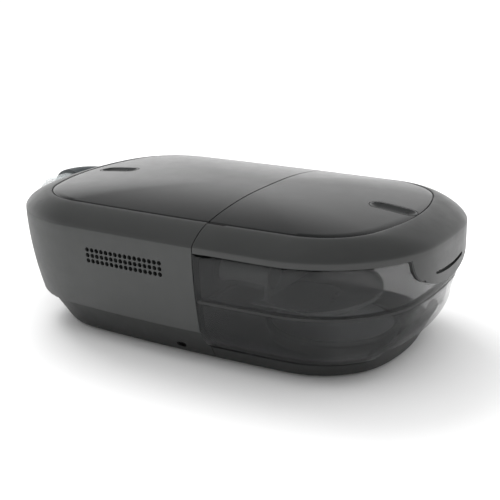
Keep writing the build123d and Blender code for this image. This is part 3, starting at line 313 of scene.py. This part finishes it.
def resmooth(obj, smooth_angle=32.0):
    bm = bmesh.new()
    bm.from_mesh(obj.data)
    for face in bm.faces:
        face.smooth = True
    for edge in bm.edges:
        edge.smooth = edge.calc_face_angle(0.0) < radians(smooth_angle)
    bm.to_mesh(obj.data)
    bm.free()


def oblong(center_x, size, z_span, grow=0.0, steps=14):
    """Return an upright oblong prism."""
    radius = size[1] / 2 + grow
    reach = size[0] / 2 - size[1] / 2
    points = []
    for side in (1, -1):
        for k in range(steps + 1):
            angle = mix(-pi / 2, pi / 2, k / steps)
            x = center_x + side * (reach + radius * cos(angle))
            points.append((x, side * radius * sin(angle)))
    return loft([[Vector((x, y, z)) for x, y in points] for z in z_span])


# ---------------------------------------------------------------- materials
def socket_value(node, **values):
    for name, value in values.items():
        node.inputs[name.replace("_", " ")].default_value = value


def surface(
    name, color, rough, *, grain=2400.0, bump=0.12, spread=0.05, tint=0.08, wear=0.25, specular=0.5,
    metal=0.0, coat=0.0, alpha=1.0, clouds=22.0,
):
    """Return a procedural material: colour clouds, uneven gloss, a fine grain and worn edges."""
    material = bpy.data.materials.new(name)
    material.use_nodes = True
    tree = material.node_tree
    shader = tree.nodes["Principled BSDF"]
    place = tree.nodes.new("ShaderNodeTexCoord")

    def noise(scale, detail):
        node = tree.nodes.new("ShaderNodeTexNoise")
        socket_value(node, Scale=scale, Detail=detail, Roughness=0.55)
        tree.links.new(place.outputs["Object"], node.inputs["Vector"])
        return node.outputs["Fac"]

    def remap(source, low, high):
        node = tree.nodes.new("ShaderNodeMapRange")
        socket_value(node, From_Min=0.25, From_Max=0.75, To_Min=low, To_Max=high)
        tree.links.new(source, node.inputs["Value"])
        return node.outputs["Result"]

    def blend_colors(source, first, second):
        node = tree.nodes.new("ShaderNodeMix")
        node.data_type = "RGBA"
        tree.links.new(source, node.inputs[0])
        for socket, value in ((node.inputs[6], first), (node.inputs[7], second)):
            if isinstance(value, tuple):
                socket.default_value = (*value, 1.0)
            else:
                tree.links.new(value, socket)
        return node.outputs[2]

    dark = tuple(c * (1.0 - tint) for c in color)
    light = tuple(min(1.0, c * (1.0 + tint)) for c in color)
    worn = tuple(min(1.0, c * (1.0 + 2.0 * wear) + 0.04 * wear) for c in color)
    clouded = blend_colors(remap(noise(clouds, 5.0), 0.0, 1.0), dark, light)
    edges = tree.nodes.new("ShaderNodeNewGeometry").outputs["Pointiness"]
    edge_share = tree.nodes.new("ShaderNodeMapRange")
    socket_value(edge_share, From_Min=0.54, From_Max=0.62, To_Min=0.0, To_Max=wear)
    tree.links.new(edges, edge_share.inputs["Value"])
    aged = blend_colors(edge_share.outputs["Result"], clouded, worn)
    tree.links.new(aged, shader.inputs["Base Color"])
    gloss = remap(noise(clouds * 6, 4.0), rough - spread, rough + spread)
    tree.links.new(gloss, shader.inputs["Roughness"])
    relief = tree.nodes.new("ShaderNodeBump")
    socket_value(relief, Strength=bump, Distance=0.0002)
    tree.links.new(noise(grain, 3.0), relief.inputs["Height"])
    tree.links.new(relief.outputs["Normal"], shader.inputs["Normal"])
    shader.inputs["Metallic"].default_value = metal
    shader.inputs["Coat Weight"].default_value = coat
    shader.inputs["Coat Roughness"].default_value = 0.12
    shader.inputs["Specular IOR Level"].default_value = specular
    shader.inputs["Alpha"].default_value = alpha
    return material


FINISHES = {
    "side_shell": surface("side_shell", (0.037, 0.039, 0.038), 0.50, bump=0.14, wear=0.15),
    # skirt_shell is the side wall's plastic with a darker colour and weaker specular: painted shade
    # for the skirt, which faces down and sits in shade
    "skirt_shell": surface(
        "skirt_shell", (0.021, 0.022, 0.0215), 0.52, bump=0.14, wear=0.15, specular=0.36
    ),
    "rim_shell": surface("rim_shell", (0.031, 0.032, 0.0315), 0.36, bump=0.08, wear=0.15),
    "top_panel": surface(
        "top_panel", (0.010, 0.0105, 0.0105), 0.24, bump=0.04, spread=0.02, wear=0.1
    ),
    "button_shell": surface("button_shell", (0.028, 0.029, 0.029), 0.30, bump=0.05, wear=0.3),
    "smoked_clear": surface(
        "smoked_clear", (0.018, 0.019, 0.0195), 0.08, bump=0.0, spread=0.02, wear=0.1,
        alpha=0.44, tint=0.03
    ),
    "clear_insert": surface(
        "clear_insert", (0.30, 0.31, 0.31), 0.22, bump=0.0, spread=0.03, wear=0.4,
        alpha=0.55, tint=0.03
    ),
    "inner_plastic": surface("inner_plastic", (0.09, 0.09, 0.095), 0.5, bump=0.3),
    "natural_plastic": surface("natural_plastic", (0.60, 0.60, 0.57), 0.45),
    "clear_cuff": surface("clear_cuff", (0.66, 0.70, 0.71), 0.20, bump=0.04, alpha=0.38),
    "grey_elbow": surface(
        "grey_elbow", (0.040, 0.046, 0.050), 0.45, bump=0.5, grain=1500.0, tint=0.3, clouds=260.0
    ),
    "black_rubber": surface("black_rubber", (0.018, 0.018, 0.019), 0.75, bump=0.5, grain=1200.0),
    "grey_silicone": surface("grey_silicone", (0.014, 0.0145, 0.0145), 0.6, bump=0.05),
    "foam": surface("foam", (0.035, 0.035, 0.038), 0.95, bump=1.0, grain=900.0, tint=0.4),
    "filter_fleece": surface("filter_fleece", (0.72, 0.74, 0.76), 0.95, bump=1.0, grain=700.0),
    "steel": surface("steel", (0.34, 0.35, 0.36), 0.34, metal=1.0, grain=5000.0, bump=0.05),
    "plated_steel": surface("plated_steel", (0.62, 0.62, 0.62), 0.16, metal=1.0, bump=0.04),
    "heater_metal": surface("heater_metal", (0.60, 0.61, 0.62), 0.35, metal=1.0, bump=0.1),
    "copper_winding": surface(
        "copper_winding", (0.62, 0.26, 0.11), 0.30, metal=1.0, bump=0.6, grain=1800.0
    ),
    "board_green": surface("board_green", (0.012, 0.11, 0.045), 0.35, tint=0.25, clouds=240.0),
    "chip_black": surface("chip_black", (0.014, 0.014, 0.016), 0.5, bump=0.3),
    "screen_glass": surface(
        "screen_glass", (0.008, 0.009, 0.011), 0.06, bump=0.01, spread=0.01, coat=0.6
    ),
    "socket_metal": surface("socket_metal", (0.55, 0.55, 0.55), 0.3, metal=1.0),
}

slots = {entry["node"]: entry["material_slot"] for entry in frame["record"]["subparts"]}
for node_name, node_object in frame["nodes"].items():
    node_object.data.materials.clear()
    node_object.data.materials.append(FINISHES[slots[node_name]])


def settle(obj, body, slot, *nodes):
    """Give a finished piece its material, body and slot, and hide the CAD nodes it stands for."""
    obj.data.materials.clear()
    obj.data.materials.append(FINISHES[slot])
    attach(obj, body)
    if nodes:
        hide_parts(*nodes)
    return obj


# ---------------------------------------------------------------- base
def steps_between(low, high, count):
    return [mix(low, high, k / (count - 1)) for k in range(count)]


def base_shell():
    rings = [skirt_ring(FOOT_Z, 2.2), skirt_ring(FOOT_Z, 1.2), skirt_ring(FOOT_Z + 0.3, 0.45)]
    rings += [skirt_ring(z) for z in steps_between(FOOT_Z + 1.2, WALL_FOOT_Z - 0.5, 8)]
    rings.append(skirt_ring(WALL_FOOT_Z - 0.1, 0.12))
    rings += [skirt_ring(WALL_FOOT_Z, inset) for inset in (0.5, WALL)]
    rings += [skirt_ring(z, WALL) for z in (14.0, 8.0, FOOT_Z + WALL + 0.6)]
    rings += [skirt_ring(FOOT_Z + WALL, WALL + 0.8)]
    pan = piece("base_skirt", loft(rings))
    tab_x = HALF_LENGTH - SKIRT_FOOT[0] - 2 * WALL
    bulkhead = box_mesh((SEAM_X - WALL, -61.0, FOOT_Z + 1), (SEAM_X, 61.0, WALL_FOOT_Z - 0.1))
    carve(pan, [bulkhead], "UNION")
    room = [box_mesh((SEAM_X + 0.02, -120.0, TRAY_Z), (tab_x, 120.0, 60.0))]
    for side in (-1, 1):
        low, high = sorted((side * 44.0, side * 120.0))
        room.append(box_mesh((tab_x - 1, low, TRAY_Z), (150.0, high, 60.0)))
    room.append(box_mesh((SEAM_X + 1, -119.0, TRAY_Z + 8.0), (151.0, 119.0, 61.0)))
    for cutter in room:
        carve(pan, [cutter])
    holes = [round_bar((0, 1), (x, y), 1.65, (0.0, 30.0)) for x in (-60, 8) for y in (-50, 50)]
    heads = [round_bar((0, 1), (x, y), 3.1, (0.0, 3.2)) for x in (-60, 8) for y in (-50, 50)]
    carve(pan, holes)
    carve(pan, heads)
    port = tube_along((0, 2), (0.0, 6.2), 1.75, (-90.0, -40.0), stretch=(3.3 / 1.75, 1.0))
    carve(pan, [port])
    soften(pan, 0.25)
    # the seam between the two ends goes on down the skirt as a fine groove
    section = ((0.4, -1.0), (22.0, -1.0), (22.0, 0.9), (0.4, 0.9))
    band = loft([skirt_ring(z, inset) for z, inset in section], closed=True)
    return carve(pan, [tank_side(blower_side(band, SEAM_X + 0.55), SEAM_X + 0.05)])


def tube_along(plane, center, radius, span, stretch=(1.0, 1.0), steps=32):
    """Return a solid bar across a plane given by its two axes, oval if stretched."""
    axis = 3 - plane[0] - plane[1]
    rings = []
    for place in span:
        ring = []
        for k in range(steps):
            angle = 2 * pi * k / steps
            point = [0.0, 0.0, 0.0]
            point[plane[0]] = center[0] + radius * stretch[0] * cos(angle)
            point[plane[1]] = center[1] + radius * stretch[1] * sin(angle)
            point[axis] = place
            ring.append(Vector(point))
        rings.append(ring)
    return loft(rings)


def round_bar(plane, center, radius, span, steps=32):
    return tube_along(plane, center, radius, span, steps=steps)


settle(base_shell(), "body", "skirt_shell", "base_pan")


# ---------------------------------------------------------------- blower housing
def side_shell():
    rings = [wall_ring(WALL_FOOT_Z, 0.55), wall_ring(WALL_FOOT_Z + 0.15, 0.16)]
    rings += [wall_ring(z) for z in steps_between(WALL_FOOT_Z + 0.6, BELT_Z - 0.5, 16)]
    rings += [wall_ring(BELT_Z - 0.12, 0.1), wall_ring(BELT_Z, 0.4)]
    rings += [wall_ring(z, WALL) for z in steps_between(BELT_Z, WALL_FOOT_Z, 8)]
    shell = piece("side_shell", blower_side(loft(rings, closed=True)))
    hatch = []
    for column in range(16):
        for row in range(3):
            place = (-25.0 + (column - 7.5) * 3.3, 56.5 + (row - 1) * 3.3)
            hatch.append(round_bar((0, 2), place, 1.35, (-95.0, -60.0), steps=20))
    carve(shell, hatch)
    carve(shell, [rounded_block((0, 2), (-40.0, 46.0), (62.0, 34.0), 4.0, (60.0, 95.0))])
    carve(shell, [round_bar((0, 2), (4.0, 46.0), 5.0, (60.0, 95.0))])
    carve(shell, [rounded_block((0, 2), (-40.0, 26.5), (24.6, 2.7), 0.6, (60.0, 95.0))])
    carve(shell, [rounded_block((1, 2), (-36.0, 47.0), (38.0, 22.0), 3.0, (-140.0, -80.0))])
    carve(shell, [round_bar((1, 2), (42.0, 34.0), 5.5, (-140.0, -80.0))])
    carve(shell, [round_bar((1, 2), (RETURN_Y, OUTLET_Z), COLLAR_R, COLLAR_SPAN)])
    return shell


def bulkhead_wall():
    rings = [wall_ring(z, 0.6) for z in steps_between(WALL_FOOT_Z + 0.1, BELT_Z - 0.2, 8)]
    bm = tank_side(blower_side(loft(rings), SEAM_X - 0.03), SEAM_X - WALL)
    wall = piece("bulkhead", bm)
    carve(wall, [box_mesh((0, -61.3, 68.4), (40, 61.3, 90))])
    ducts = ((RETURN_PORT, 11.0), (SUPPLY_PORT, 8.0))
    carve(wall, [round_bar((1, 2), place, radius, (0, 40)) for place, radius in ducts])
    return wall


def rounded_block(plane, center, size, radius, span, steps=8):
    """Return a bar with a rounded rectangular section."""
    axis = 3 - plane[0] - plane[1]
    corners = ((1, 1, 0.0), (-1, 1, pi / 2), (-1, -1, pi), (1, -1, 1.5 * pi))
    rings = []
    for place in span:
        ring = []
        for side_a, side_b, start in corners:
            for k in range(steps + 1):
                angle = start + pi / 2 * k / steps
                point = [0.0, 0.0, 0.0]
                point[plane[0]] = center[0] + side_a * (size[0] / 2 - radius) + radius * cos(angle)
                point[plane[1]] = center[1] + side_b * (size[1] / 2 - radius) + radius * sin(angle)
                point[axis] = place
                ring.append(Vector(point))
        rings.append(ring)
    return loft(rings)


settle(side_shell(), "body", "side_shell", "blower_housing")
settle(bulkhead_wall(), "body", "side_shell")

# ---------------------------------------------------------------- rims and top panels
HINGE = (27.9, 81.3)
HINGE_DEPTH = 6.3


def hinge_pocket():
    """Room swept by the lid's top edge as it turns on the hinge, with its gap."""
    rings = []
    for k in range(41):
        y = mix(-68.4, 68.4, k / 40)
        edge_z = crown_height(abs(y) / (HALF_WIDTH - PANEL[1]))
        reach = sqrt(HINGE_DEPTH**2 + max(0.0, edge_z - HINGE[1]) ** 2) + SEAM_GAP
        ring = []
        for step in range(72):
            turn = 2 * pi * step / 72
            ring.append(Vector((HINGE[0] + reach * cos(turn), y, HINGE[1] + reach * sin(turn))))
        rings.append(ring)
    return loft(rings)


def rim_rings(foot):
    """Rings of a rim: its outside up from the foot rings, the step for the panel, its inside."""
    turns = (7, 14, 22, 30, 38, 46, 54, 62, 70, 77, 83, 87)
    rings = list(foot) + [shoulder_ring(turn) for turn in turns]
    rings += [shoulder_ring(90, 0.15, 0.05), shoulder_ring(90, 0.38, 0.25)]
    rings += [shoulder_ring(90, inset, drop) for inset, drop in ((0.42, 1.5), (3.2, 1.5), (3.2, 2.5))]
    rings += [shoulder_ring(turn, WALL, 1.8) for turn in (72, 58, 44, 30)]
    return rings


def blower_rim():
    foot = [outline(BELT, BELT_Z, 0.45), outline(BELT, BELT_Z + 0.12, 0.12), shoulder_ring(2)]
    rings = rim_rings(foot) + [outline(BELT, BELT_Z, WALL)]
    rim = piece("blower_rim_shell", blower_side(loft(rings, closed=True)))
    block = loft([shoulder_ring(turn, 0.5, 0.1) for turn in (4, 20, 36, 52, 68, 84)])
    back = piece("back", tank_side(blower_side(block, 18.09), 15.69))
    join(rim, back)
    carve(rim, [hinge_pocket()])
    carve(rim, [round_bar((1, 2), (RETURN_Y, OUTLET_Z), COLLAR_R, COLLAR_SPAN)])
    bm = box_mesh((15.69, -61.0, 68.79), (30.2, 61.0, 71.79))
    merge(bm, box_mesh((15.69, -61.0, 68.79), (18.09, 61.0, 74.2)))
    for y in HINGE_LUGS:
        merge(bm, box_mesh((25.6, y - 3, 69.0), (30.2, y + 3, 81.3)))
        merge(bm, round_bar((0, 2), HINGE, 2.3, (y - 3.0, y + 3.0)))
    beam = soften(piece("beam", bm), 0.25)
    return join(rim, beam)


def join(obj, other):
    """Add another object's mesh to an object."""
    bm = bmesh.new()
    bm.from_mesh(obj.data)
    bm.from_mesh(other.data)
    bm.to_mesh(obj.data)
    bm.free()
    bpy.data.objects.remove(other)
    return obj


def top_panel(name, cut_side, x, button_x):
    shares = (0.975, 0.95, 0.92, 0.88, 0.83, 0.77, 0.70, 0.62, 0.53, 0.43, 0.32, 0.2, 0.1, 0.03)
    under = [crown_ring(share, 0.0, 1.8) for share in reversed(shares)]
    edge = [crown_ring(1.0, 1.15, 1.35), crown_ring(1.0, 0.95, 0.45), crown_ring(1.0, 1.1, 0.12)]
    edge += [crown_ring(0.998, 1.35, 0.02)]
    top = [crown_ring(share, 0.0, 0.02) for share in shares]
    panel = piece(name, cut_side(loft(under + edge + top), x))
    carve(panel, [oblong(button_x, BUTTON_SIZE, (60.0, 100.0))])
    return panel


def lid_low(y):
    """Height of the lid's lower edge at its far end: the bowed finger tongue."""
    y = abs(y)
    if y >= TONGUE_HALF:
        return LID_BOTTOM_Z
    if y >= TONGUE_TIP_HALF:
        share = (y - TONGUE_TIP_HALF) / (TONGUE_HALF - TONGUE_TIP_HALF)
        return mix(TONGUE_TIP_Z + TONGUE_RISE, LID_BOTTOM_Z, share)
    radius = (TONGUE_TIP_HALF**2 + TONGUE_RISE**2) / (2 * TONGUE_RISE)
    return TONGUE_TIP_Z + radius - sqrt(radius**2 - y**2)


def tongue_edge():
    """Half of the tongue's edge from its middle out, with the corner rounded."""
    arc = [Vector((y, lid_low(y))) for y in steps_between(0.0, 33.5, 16)]
    corner = Vector((TONGUE_TIP_HALF, TONGUE_TIP_Z + TONGUE_RISE))
    rise = Vector((TONGUE_HALF, LID_BOTTOM_Z))
    leave = corner + (rise - corner).normalized() * TONGUE_CORNER
    for k in range(1, 9):
        share = k / 8
        arc.append(arc[15] * (1 - share) ** 2 + corner * 2 * share * (1 - share) + leave * share**2)
    return arc + [rise]


def below_lid():
    """A bar along X that fills everything under the lid's lower edge."""
    half = tongue_edge()
    section = [(-100.0, LID_BOTTOM_Z)] + [(-y, z) for y, z in reversed(half)]
    section += [(y, z) for y, z in half[1:]]
    section += [(100.0, LID_BOTTOM_Z), (100.0, 40.0), (-100.0, 40.0)]
    return loft([[Vector((x, y, z)) for y, z in section] for x in (-20.0, 150.0)])


def ease(obj, width, chosen):
    """Round the sharp edges whose middles a test picks out, given in millimetres."""
    bm = bmesh.new()
    bm.from_mesh(obj.data)
    picked = []
    for edge in bm.edges:
        middle = (edge.verts[0].co + edge.verts[1].co) / 2 / MM
        if edge.calc_face_angle(0.0) > radians(50) and chosen(middle):
            picked.append(edge)
    bmesh.ops.bevel(
        bm, geom=picked, offset=width * MM, segments=3, affect="EDGES", clamp_overlap=False
    )
    bm.to_mesh(obj.data)
    bm.free()
    resmooth(obj)
    return obj


def lid_rim():
    low, high = TONGUE_TIP_Z - 2.0, BELT_Z - 0.1
    foot = [outline(BELT, z) for z in (low, 56.0, 63.0, LID_BOTTOM_Z - 1.0, high)]
    inside = [outline(BELT, z, WALL) for z in (high, LID_BOTTOM_Z - 1.0, 58.0, low)]
    rim = piece("lid_shell", tank_side(loft(rim_rings(foot) + inside, closed=True)))
    carve(rim, [below_lid()])
    ease(rim, 0.4, lambda p: p[0] > 30 and p[2] < LID_BOTTOM_Z + 0.2)
    sections = []
    for k in range(41):
        y = mix(-20.0, 20.0, k / 40)
        middle = TONGUE_TIP_Z + 7.4 + 1.5 * (y / 20.0) ** 2
        half = 1.1 * sqrt(max(1.0 - max(0.0, (abs(y) - 18.9) / 1.1) ** 2, 0.02))
        corners = ((90, -half), (150, -half), (150, half), (90, half))
        sections.append([Vector((x, y, middle + z)) for x, z in corners])
    carve(rim, [loft(sections)])
    carve(rim, [box_mesh((0, -69, 77.8), (32.5, 69, 95))])
    carve(rim, [oblong(RELEASE_X, BUTTON_SIZE, (70.0, 80.8), grow=0.3)])
    bm = bmesh.new()
    for y in HINGE_LUGS:
        low = y + 3.3
        merge(bm, box_mesh((27.9, low, 79.6), (34.3, low + 6, 83.6)))
        merge(bm, round_bar((0, 2), HINGE, 2.3, (low, low + 6.0)))
    return join(rim, soften(piece("knuckles", bm), 0.2))


settle(blower_rim(), "body", "rim_shell", "blower_rim")
blower_panel = top_panel("blower_top_panel", blower_side, SEAM_X, START_X)
carve(blower_panel, [hinge_pocket()])
settle(blower_panel, "body", "top_panel", "blower_panel")
settle(lid_rim(), "lid", "rim_shell", "lid_rim")
settle(top_panel("lid_top_panel", tank_side, LID_X, RELEASE_X), "lid", "top_panel", "lid_panel")


# ---------------------------------------------------------------- buttons
def scooped_button(name, center_x):
    half = BUTTON_SIZE[1] / 2 - 0.3
    reach = BUTTON_SIZE[0] / 2 - BUTTON_SIZE[1] / 2
    scoop_half, scoop_depth = half - 0.9, 1.8
    scoop_r = (scoop_half**2 + scoop_depth**2) / (2 * scoop_depth)

    def ring(inset, height):
        points = []
        radius = max(half - inset, 0.03)
        for side in (1, -1):
            for k in range(25):
                angle = mix(-pi / 2, pi / 2, k / 24)
                x = center_x + side * (reach + radius * cos(angle))
                y = side * radius * sin(angle)
                points.append(Vector((x, y, height(x, y, inset))))
        return points

    def top(x, y, inset):
        share = abs(x) / (HALF_LENGTH - PANEL[0])
        share += y**2 / (2 * 133.0 * share) / (HALF_LENGTH - PANEL[0])
        across = max(half - inset, 0.0)
        dip = 0.0
        if across < scoop_half:
            dip = sqrt(scoop_r**2 - across**2) - (scoop_r - scoop_depth)
        return crown_height(share) - dip

    foot = PANEL_EDGE_Z - 2.0
    rings = [ring(0.0, lambda x, y, d: foot), ring(0.0, lambda x, y, d: top(x, y, 0) - 0.4)]
    rings.append(ring(0.12, lambda x, y, d: top(x, y, 0) - 0.12))
    rings.append(ring(0.4, lambda x, y, d: top(x, y, 0)))
    rings += [ring(d, top) for d in (0.75, 0.9, 1.1, 1.4, 1.8, 2.3, 2.9, 3.5, 4.2, 4.9, 5.4, 5.8)]
    bm = loft(rings)
    merge(bm, round_bar((0, 1), (center_x, 0.0), 2.0, (72.7, foot + 0.3)))
    return piece(name, bm)


settle(scooped_button("start_button_cap", START_X), "start_push", "button_shell", "start_button")
release_cap = scooped_button("release_button_cap", RELEASE_X)
settle(release_cap, "release_push", "button_shell", "release_button")


# ---------------------------------------------------------------- water tank
def tank_half(name, outer, inner):
    """Return a hollow half of the tank, made of rings outside and inside."""
    shell = piece(name, tank_side(loft(outer)))
    hollow = tank_side(loft(inner), LID_X + CLEAR_WALL)
    return shell, hollow


def tank_lower():
    foot = ((0.0, 1.4), (0.3, 0.5), (1.0, 0.1))
    outer = [tank_ring(TANK_FOOT_Z + rise, inset) for rise, inset in foot]
    outer += [tank_ring(z) for z in steps_between(TANK_FOOT_Z + 2.4, LEDGE_Z - 0.5, 14)]
    outer += [tank_ring(LEDGE_Z - 0.1, 0.12), tank_ring(LEDGE_Z, 0.45)]
    floor_edge = ((2.0, 2.5), (2.8, 0.8))
    inner = [tank_ring(TANK_FOOT_Z + rise, CLEAR_WALL + inset) for rise, inset in floor_edge]
    inner += [tank_ring(z, CLEAR_WALL) for z in steps_between(TANK_FOOT_Z + 4.2, LEDGE_Z + 1, 12)]
    shell, hollow = tank_half("tank_lower", outer, inner)
    carve(shell, [hollow])
    carve(shell, [round_bar((0, 1), (HEATER_X, 0.0), 36.0, (0.0, 16.0), steps=96)])
    carve(shell, [round_bar((0, 1), (HEATER_X, 0.0), 40.0, (0.0, TANK_FOOT_Z + 0.8), steps=96)])
    carve(shell, [box_mesh((104.5, -44.3, 0.0), (150.0, 44.3, TRAY_Z + 8.3))])
    return shell


def tank_upper():
    belt = outline(BELT, BELT_Z, 2.7)

    def ring(z, inset=0.0):
        points = wall_ring(z, inset)
        for point, limit in zip(points, belt):
            if point[0] > 60 and z > lid_low(point[1]) + 0.5 and point[0] > limit[0] - inset:
                side = 1 if limit[1] > 0 else -1
                point[0], point[1] = limit[0] - inset, limit[1] - inset * side * 0.3
        return points

    outer = [ring(HOOD_Z, 0.45), ring(HOOD_Z + 0.1, 0.12)]
    outer += [ring(z) for z in steps_between(HOOD_Z + 0.5, TANK_TOP_Z - 0.5, 14)]
    outer += [ring(TANK_TOP_Z - 0.1, 0.12), ring(TANK_TOP_Z, 0.5)]
    inner = [ring(z, CLEAR_WALL) for z in steps_between(HOOD_Z - 1, TANK_TOP_Z - 3.5, 10)]
    inner += [ring(TANK_TOP_Z - 2.4, CLEAR_WALL + 1.0)]
    shell, hollow = tank_half("tank_upper", outer, inner)
    carve(shell, [hollow])
    carve(shell, [round_bar((1, 2), place, 6.5, (0, 26)) for place in (RETURN_PORT, SUPPLY_PORT)])
    carve(shell, [round_bar((0, 2), HINGE, 14.3, (-90.0, 90.0), steps=96)])
    return shell


settle(tank_lower(), "body", "smoked_clear", "tank_tub")
settle(tank_upper(), "body", "smoked_clear", "tank_hood")


# ---------------------------------------------------------------- outlet cuff
def cuff():
    """The pale connector ring: a short tube with rolled lips and two shallow ribs."""
    middle, far, near = CUFF_X, -1.0, 17.0
    profile = [(9.5, near), (10.7, near), (11.0, near - 0.4), (11.0, near - 5.0), (10.75, near - 5.4)]
    profile += [(10.75, near - 6.4), (11.0, near - 6.8), (11.0, near - 10.0), (10.75, near - 10.4)]
    profile += [(10.75, near - 11.4), (11.0, near - 11.8), (11.0, far + 0.6), (10.7, far + 0.1)]
    profile += [(10.2, far), (9.8, far + 0.2), (9.5, far + 0.6)]
    rings = []
    for radius, y in profile:
        ring = []
        for k in range(72):
            turn = 2 * pi * k / 72
            ring.append(Vector((middle + radius * cos(turn), y, OUTLET_Z + radius * sin(turn))))
        rings.append(ring)
    return piece("outlet_cuff", loft(rings, closed=True))


settle(cuff(), "outlet_elbow", "clear_cuff", "hose_cuff")


# ---------------------------------------------------------------- floor, light and camera
def floor_mesh():
    """A wide plain floor."""
    bm = bmesh.new()
    corners = ((-12, -12), (12, -12), (12, 12), (-12, 12))
    bm.faces.new([bm.verts.new((x, y, 0.0)) for x, y in corners])
    mesh = bpy.data.meshes.new("floor")
    bm.to_mesh(mesh)
    bm.free()
    return bpy.data.objects.new("floor", mesh)


floor = floor_mesh()
bpy.context.scene.collection.objects.link(floor)
floor_finish = surface(
    "floor_white", (0.90, 0.90, 0.90), 0.9, bump=0.0, tint=0.004, wear=0.0, specular=0.1
)
floor.data.materials.append(floor_finish)


def studio_sky():
    """Light grey near the horizon, dark overhead."""
    world = bpy.data.worlds.new("studio")
    bpy.context.scene.world = world
    world.use_nodes = True
    tree = world.node_tree
    split = tree.nodes.new("ShaderNodeSeparateXYZ")
    tree.links.new(tree.nodes.new("ShaderNodeTexCoord").outputs["Generated"], split.inputs[0])
    ramp = tree.nodes.new("ShaderNodeValToRGB")
    stops = ramp.color_ramp.elements
    stops[0].position, stops[0].color = 0.0, (1.0, 1.0, 1.0, 1.0)
    stops[1].position, stops[1].color = 1.0, (0.05, 0.05, 0.05, 1.0)
    for place, grey in ((0.16, 0.90), (0.34, 0.62), (0.55, 0.22), (0.75, 0.06)):
        stops.new(place).color = (grey, grey, grey, 1.0)
    tree.links.new(split.outputs["Z"], ramp.inputs["Fac"])
    tree.links.new(ramp.outputs["Color"], tree.nodes["Background"].inputs["Color"])
    tree.nodes["Background"].inputs["Strength"].default_value = 1.45


studio_sky()
bpy.context.scene.view_settings.view_transform = "Standard"


def softbox(name, place, target, size, power, seen=False):
    """Add a rectangular light; one that isn't seen leaves no reflection of itself."""
    light = bpy.data.lights.new(name, "AREA")
    light.shape = "RECTANGLE"
    light.size, light.size_y = size
    light.energy = power
    lamp = bpy.data.objects.new(name, light)
    bpy.context.scene.collection.objects.link(lamp)
    lamp.location = place
    lamp.rotation_mode = "QUATERNION"
    lamp.rotation_quaternion = (Vector(target) - Vector(place)).to_track_quat("-Z", "Y")
    lamp.visible_glossy = seen


softbox("ceiling", (-0.8, 1.4, 2.6), (-0.8, 1.4, 0.0), (7.0, 7.0), 210.0)
softbox("key", (-0.9, 0.5, 1.3), (0.0, 0.0, 0.0), (1.0, 0.8), 14.0)

AZIMUTH, ELEVATION, ROLL = radians(30.7), radians(17.65), radians(-0.5)
DISTANCE = 0.6185
TARGET = Vector((0.00674, 0.0, 0.04497))
back = Vector((sin(AZIMUTH) * cos(ELEVATION), -cos(AZIMUTH) * cos(ELEVATION), sin(ELEVATION)))
level = Vector((cos(AZIMUTH), sin(AZIMUTH), 0.0))
upright = back.cross(level)
right = level * cos(ROLL) + upright * sin(ROLL)
up = upright * cos(ROLL) - level * sin(ROLL)
camera = bpy.data.objects.new("camera", bpy.data.cameras.new("camera"))
bpy.context.scene.collection.objects.link(camera)
camera.data.lens = 73.68
camera.data.sensor_width = 36.0
camera.data.clip_start = 0.01
turn = Matrix((right, up, back)).transposed()
camera.rotation_mode = "QUATERNION"
camera.rotation_quaternion = turn.to_quaternion()
camera.location = TARGET + back * DISTANCE
bpy.context.scene.camera = camera

bpy.context.view_layer.update()
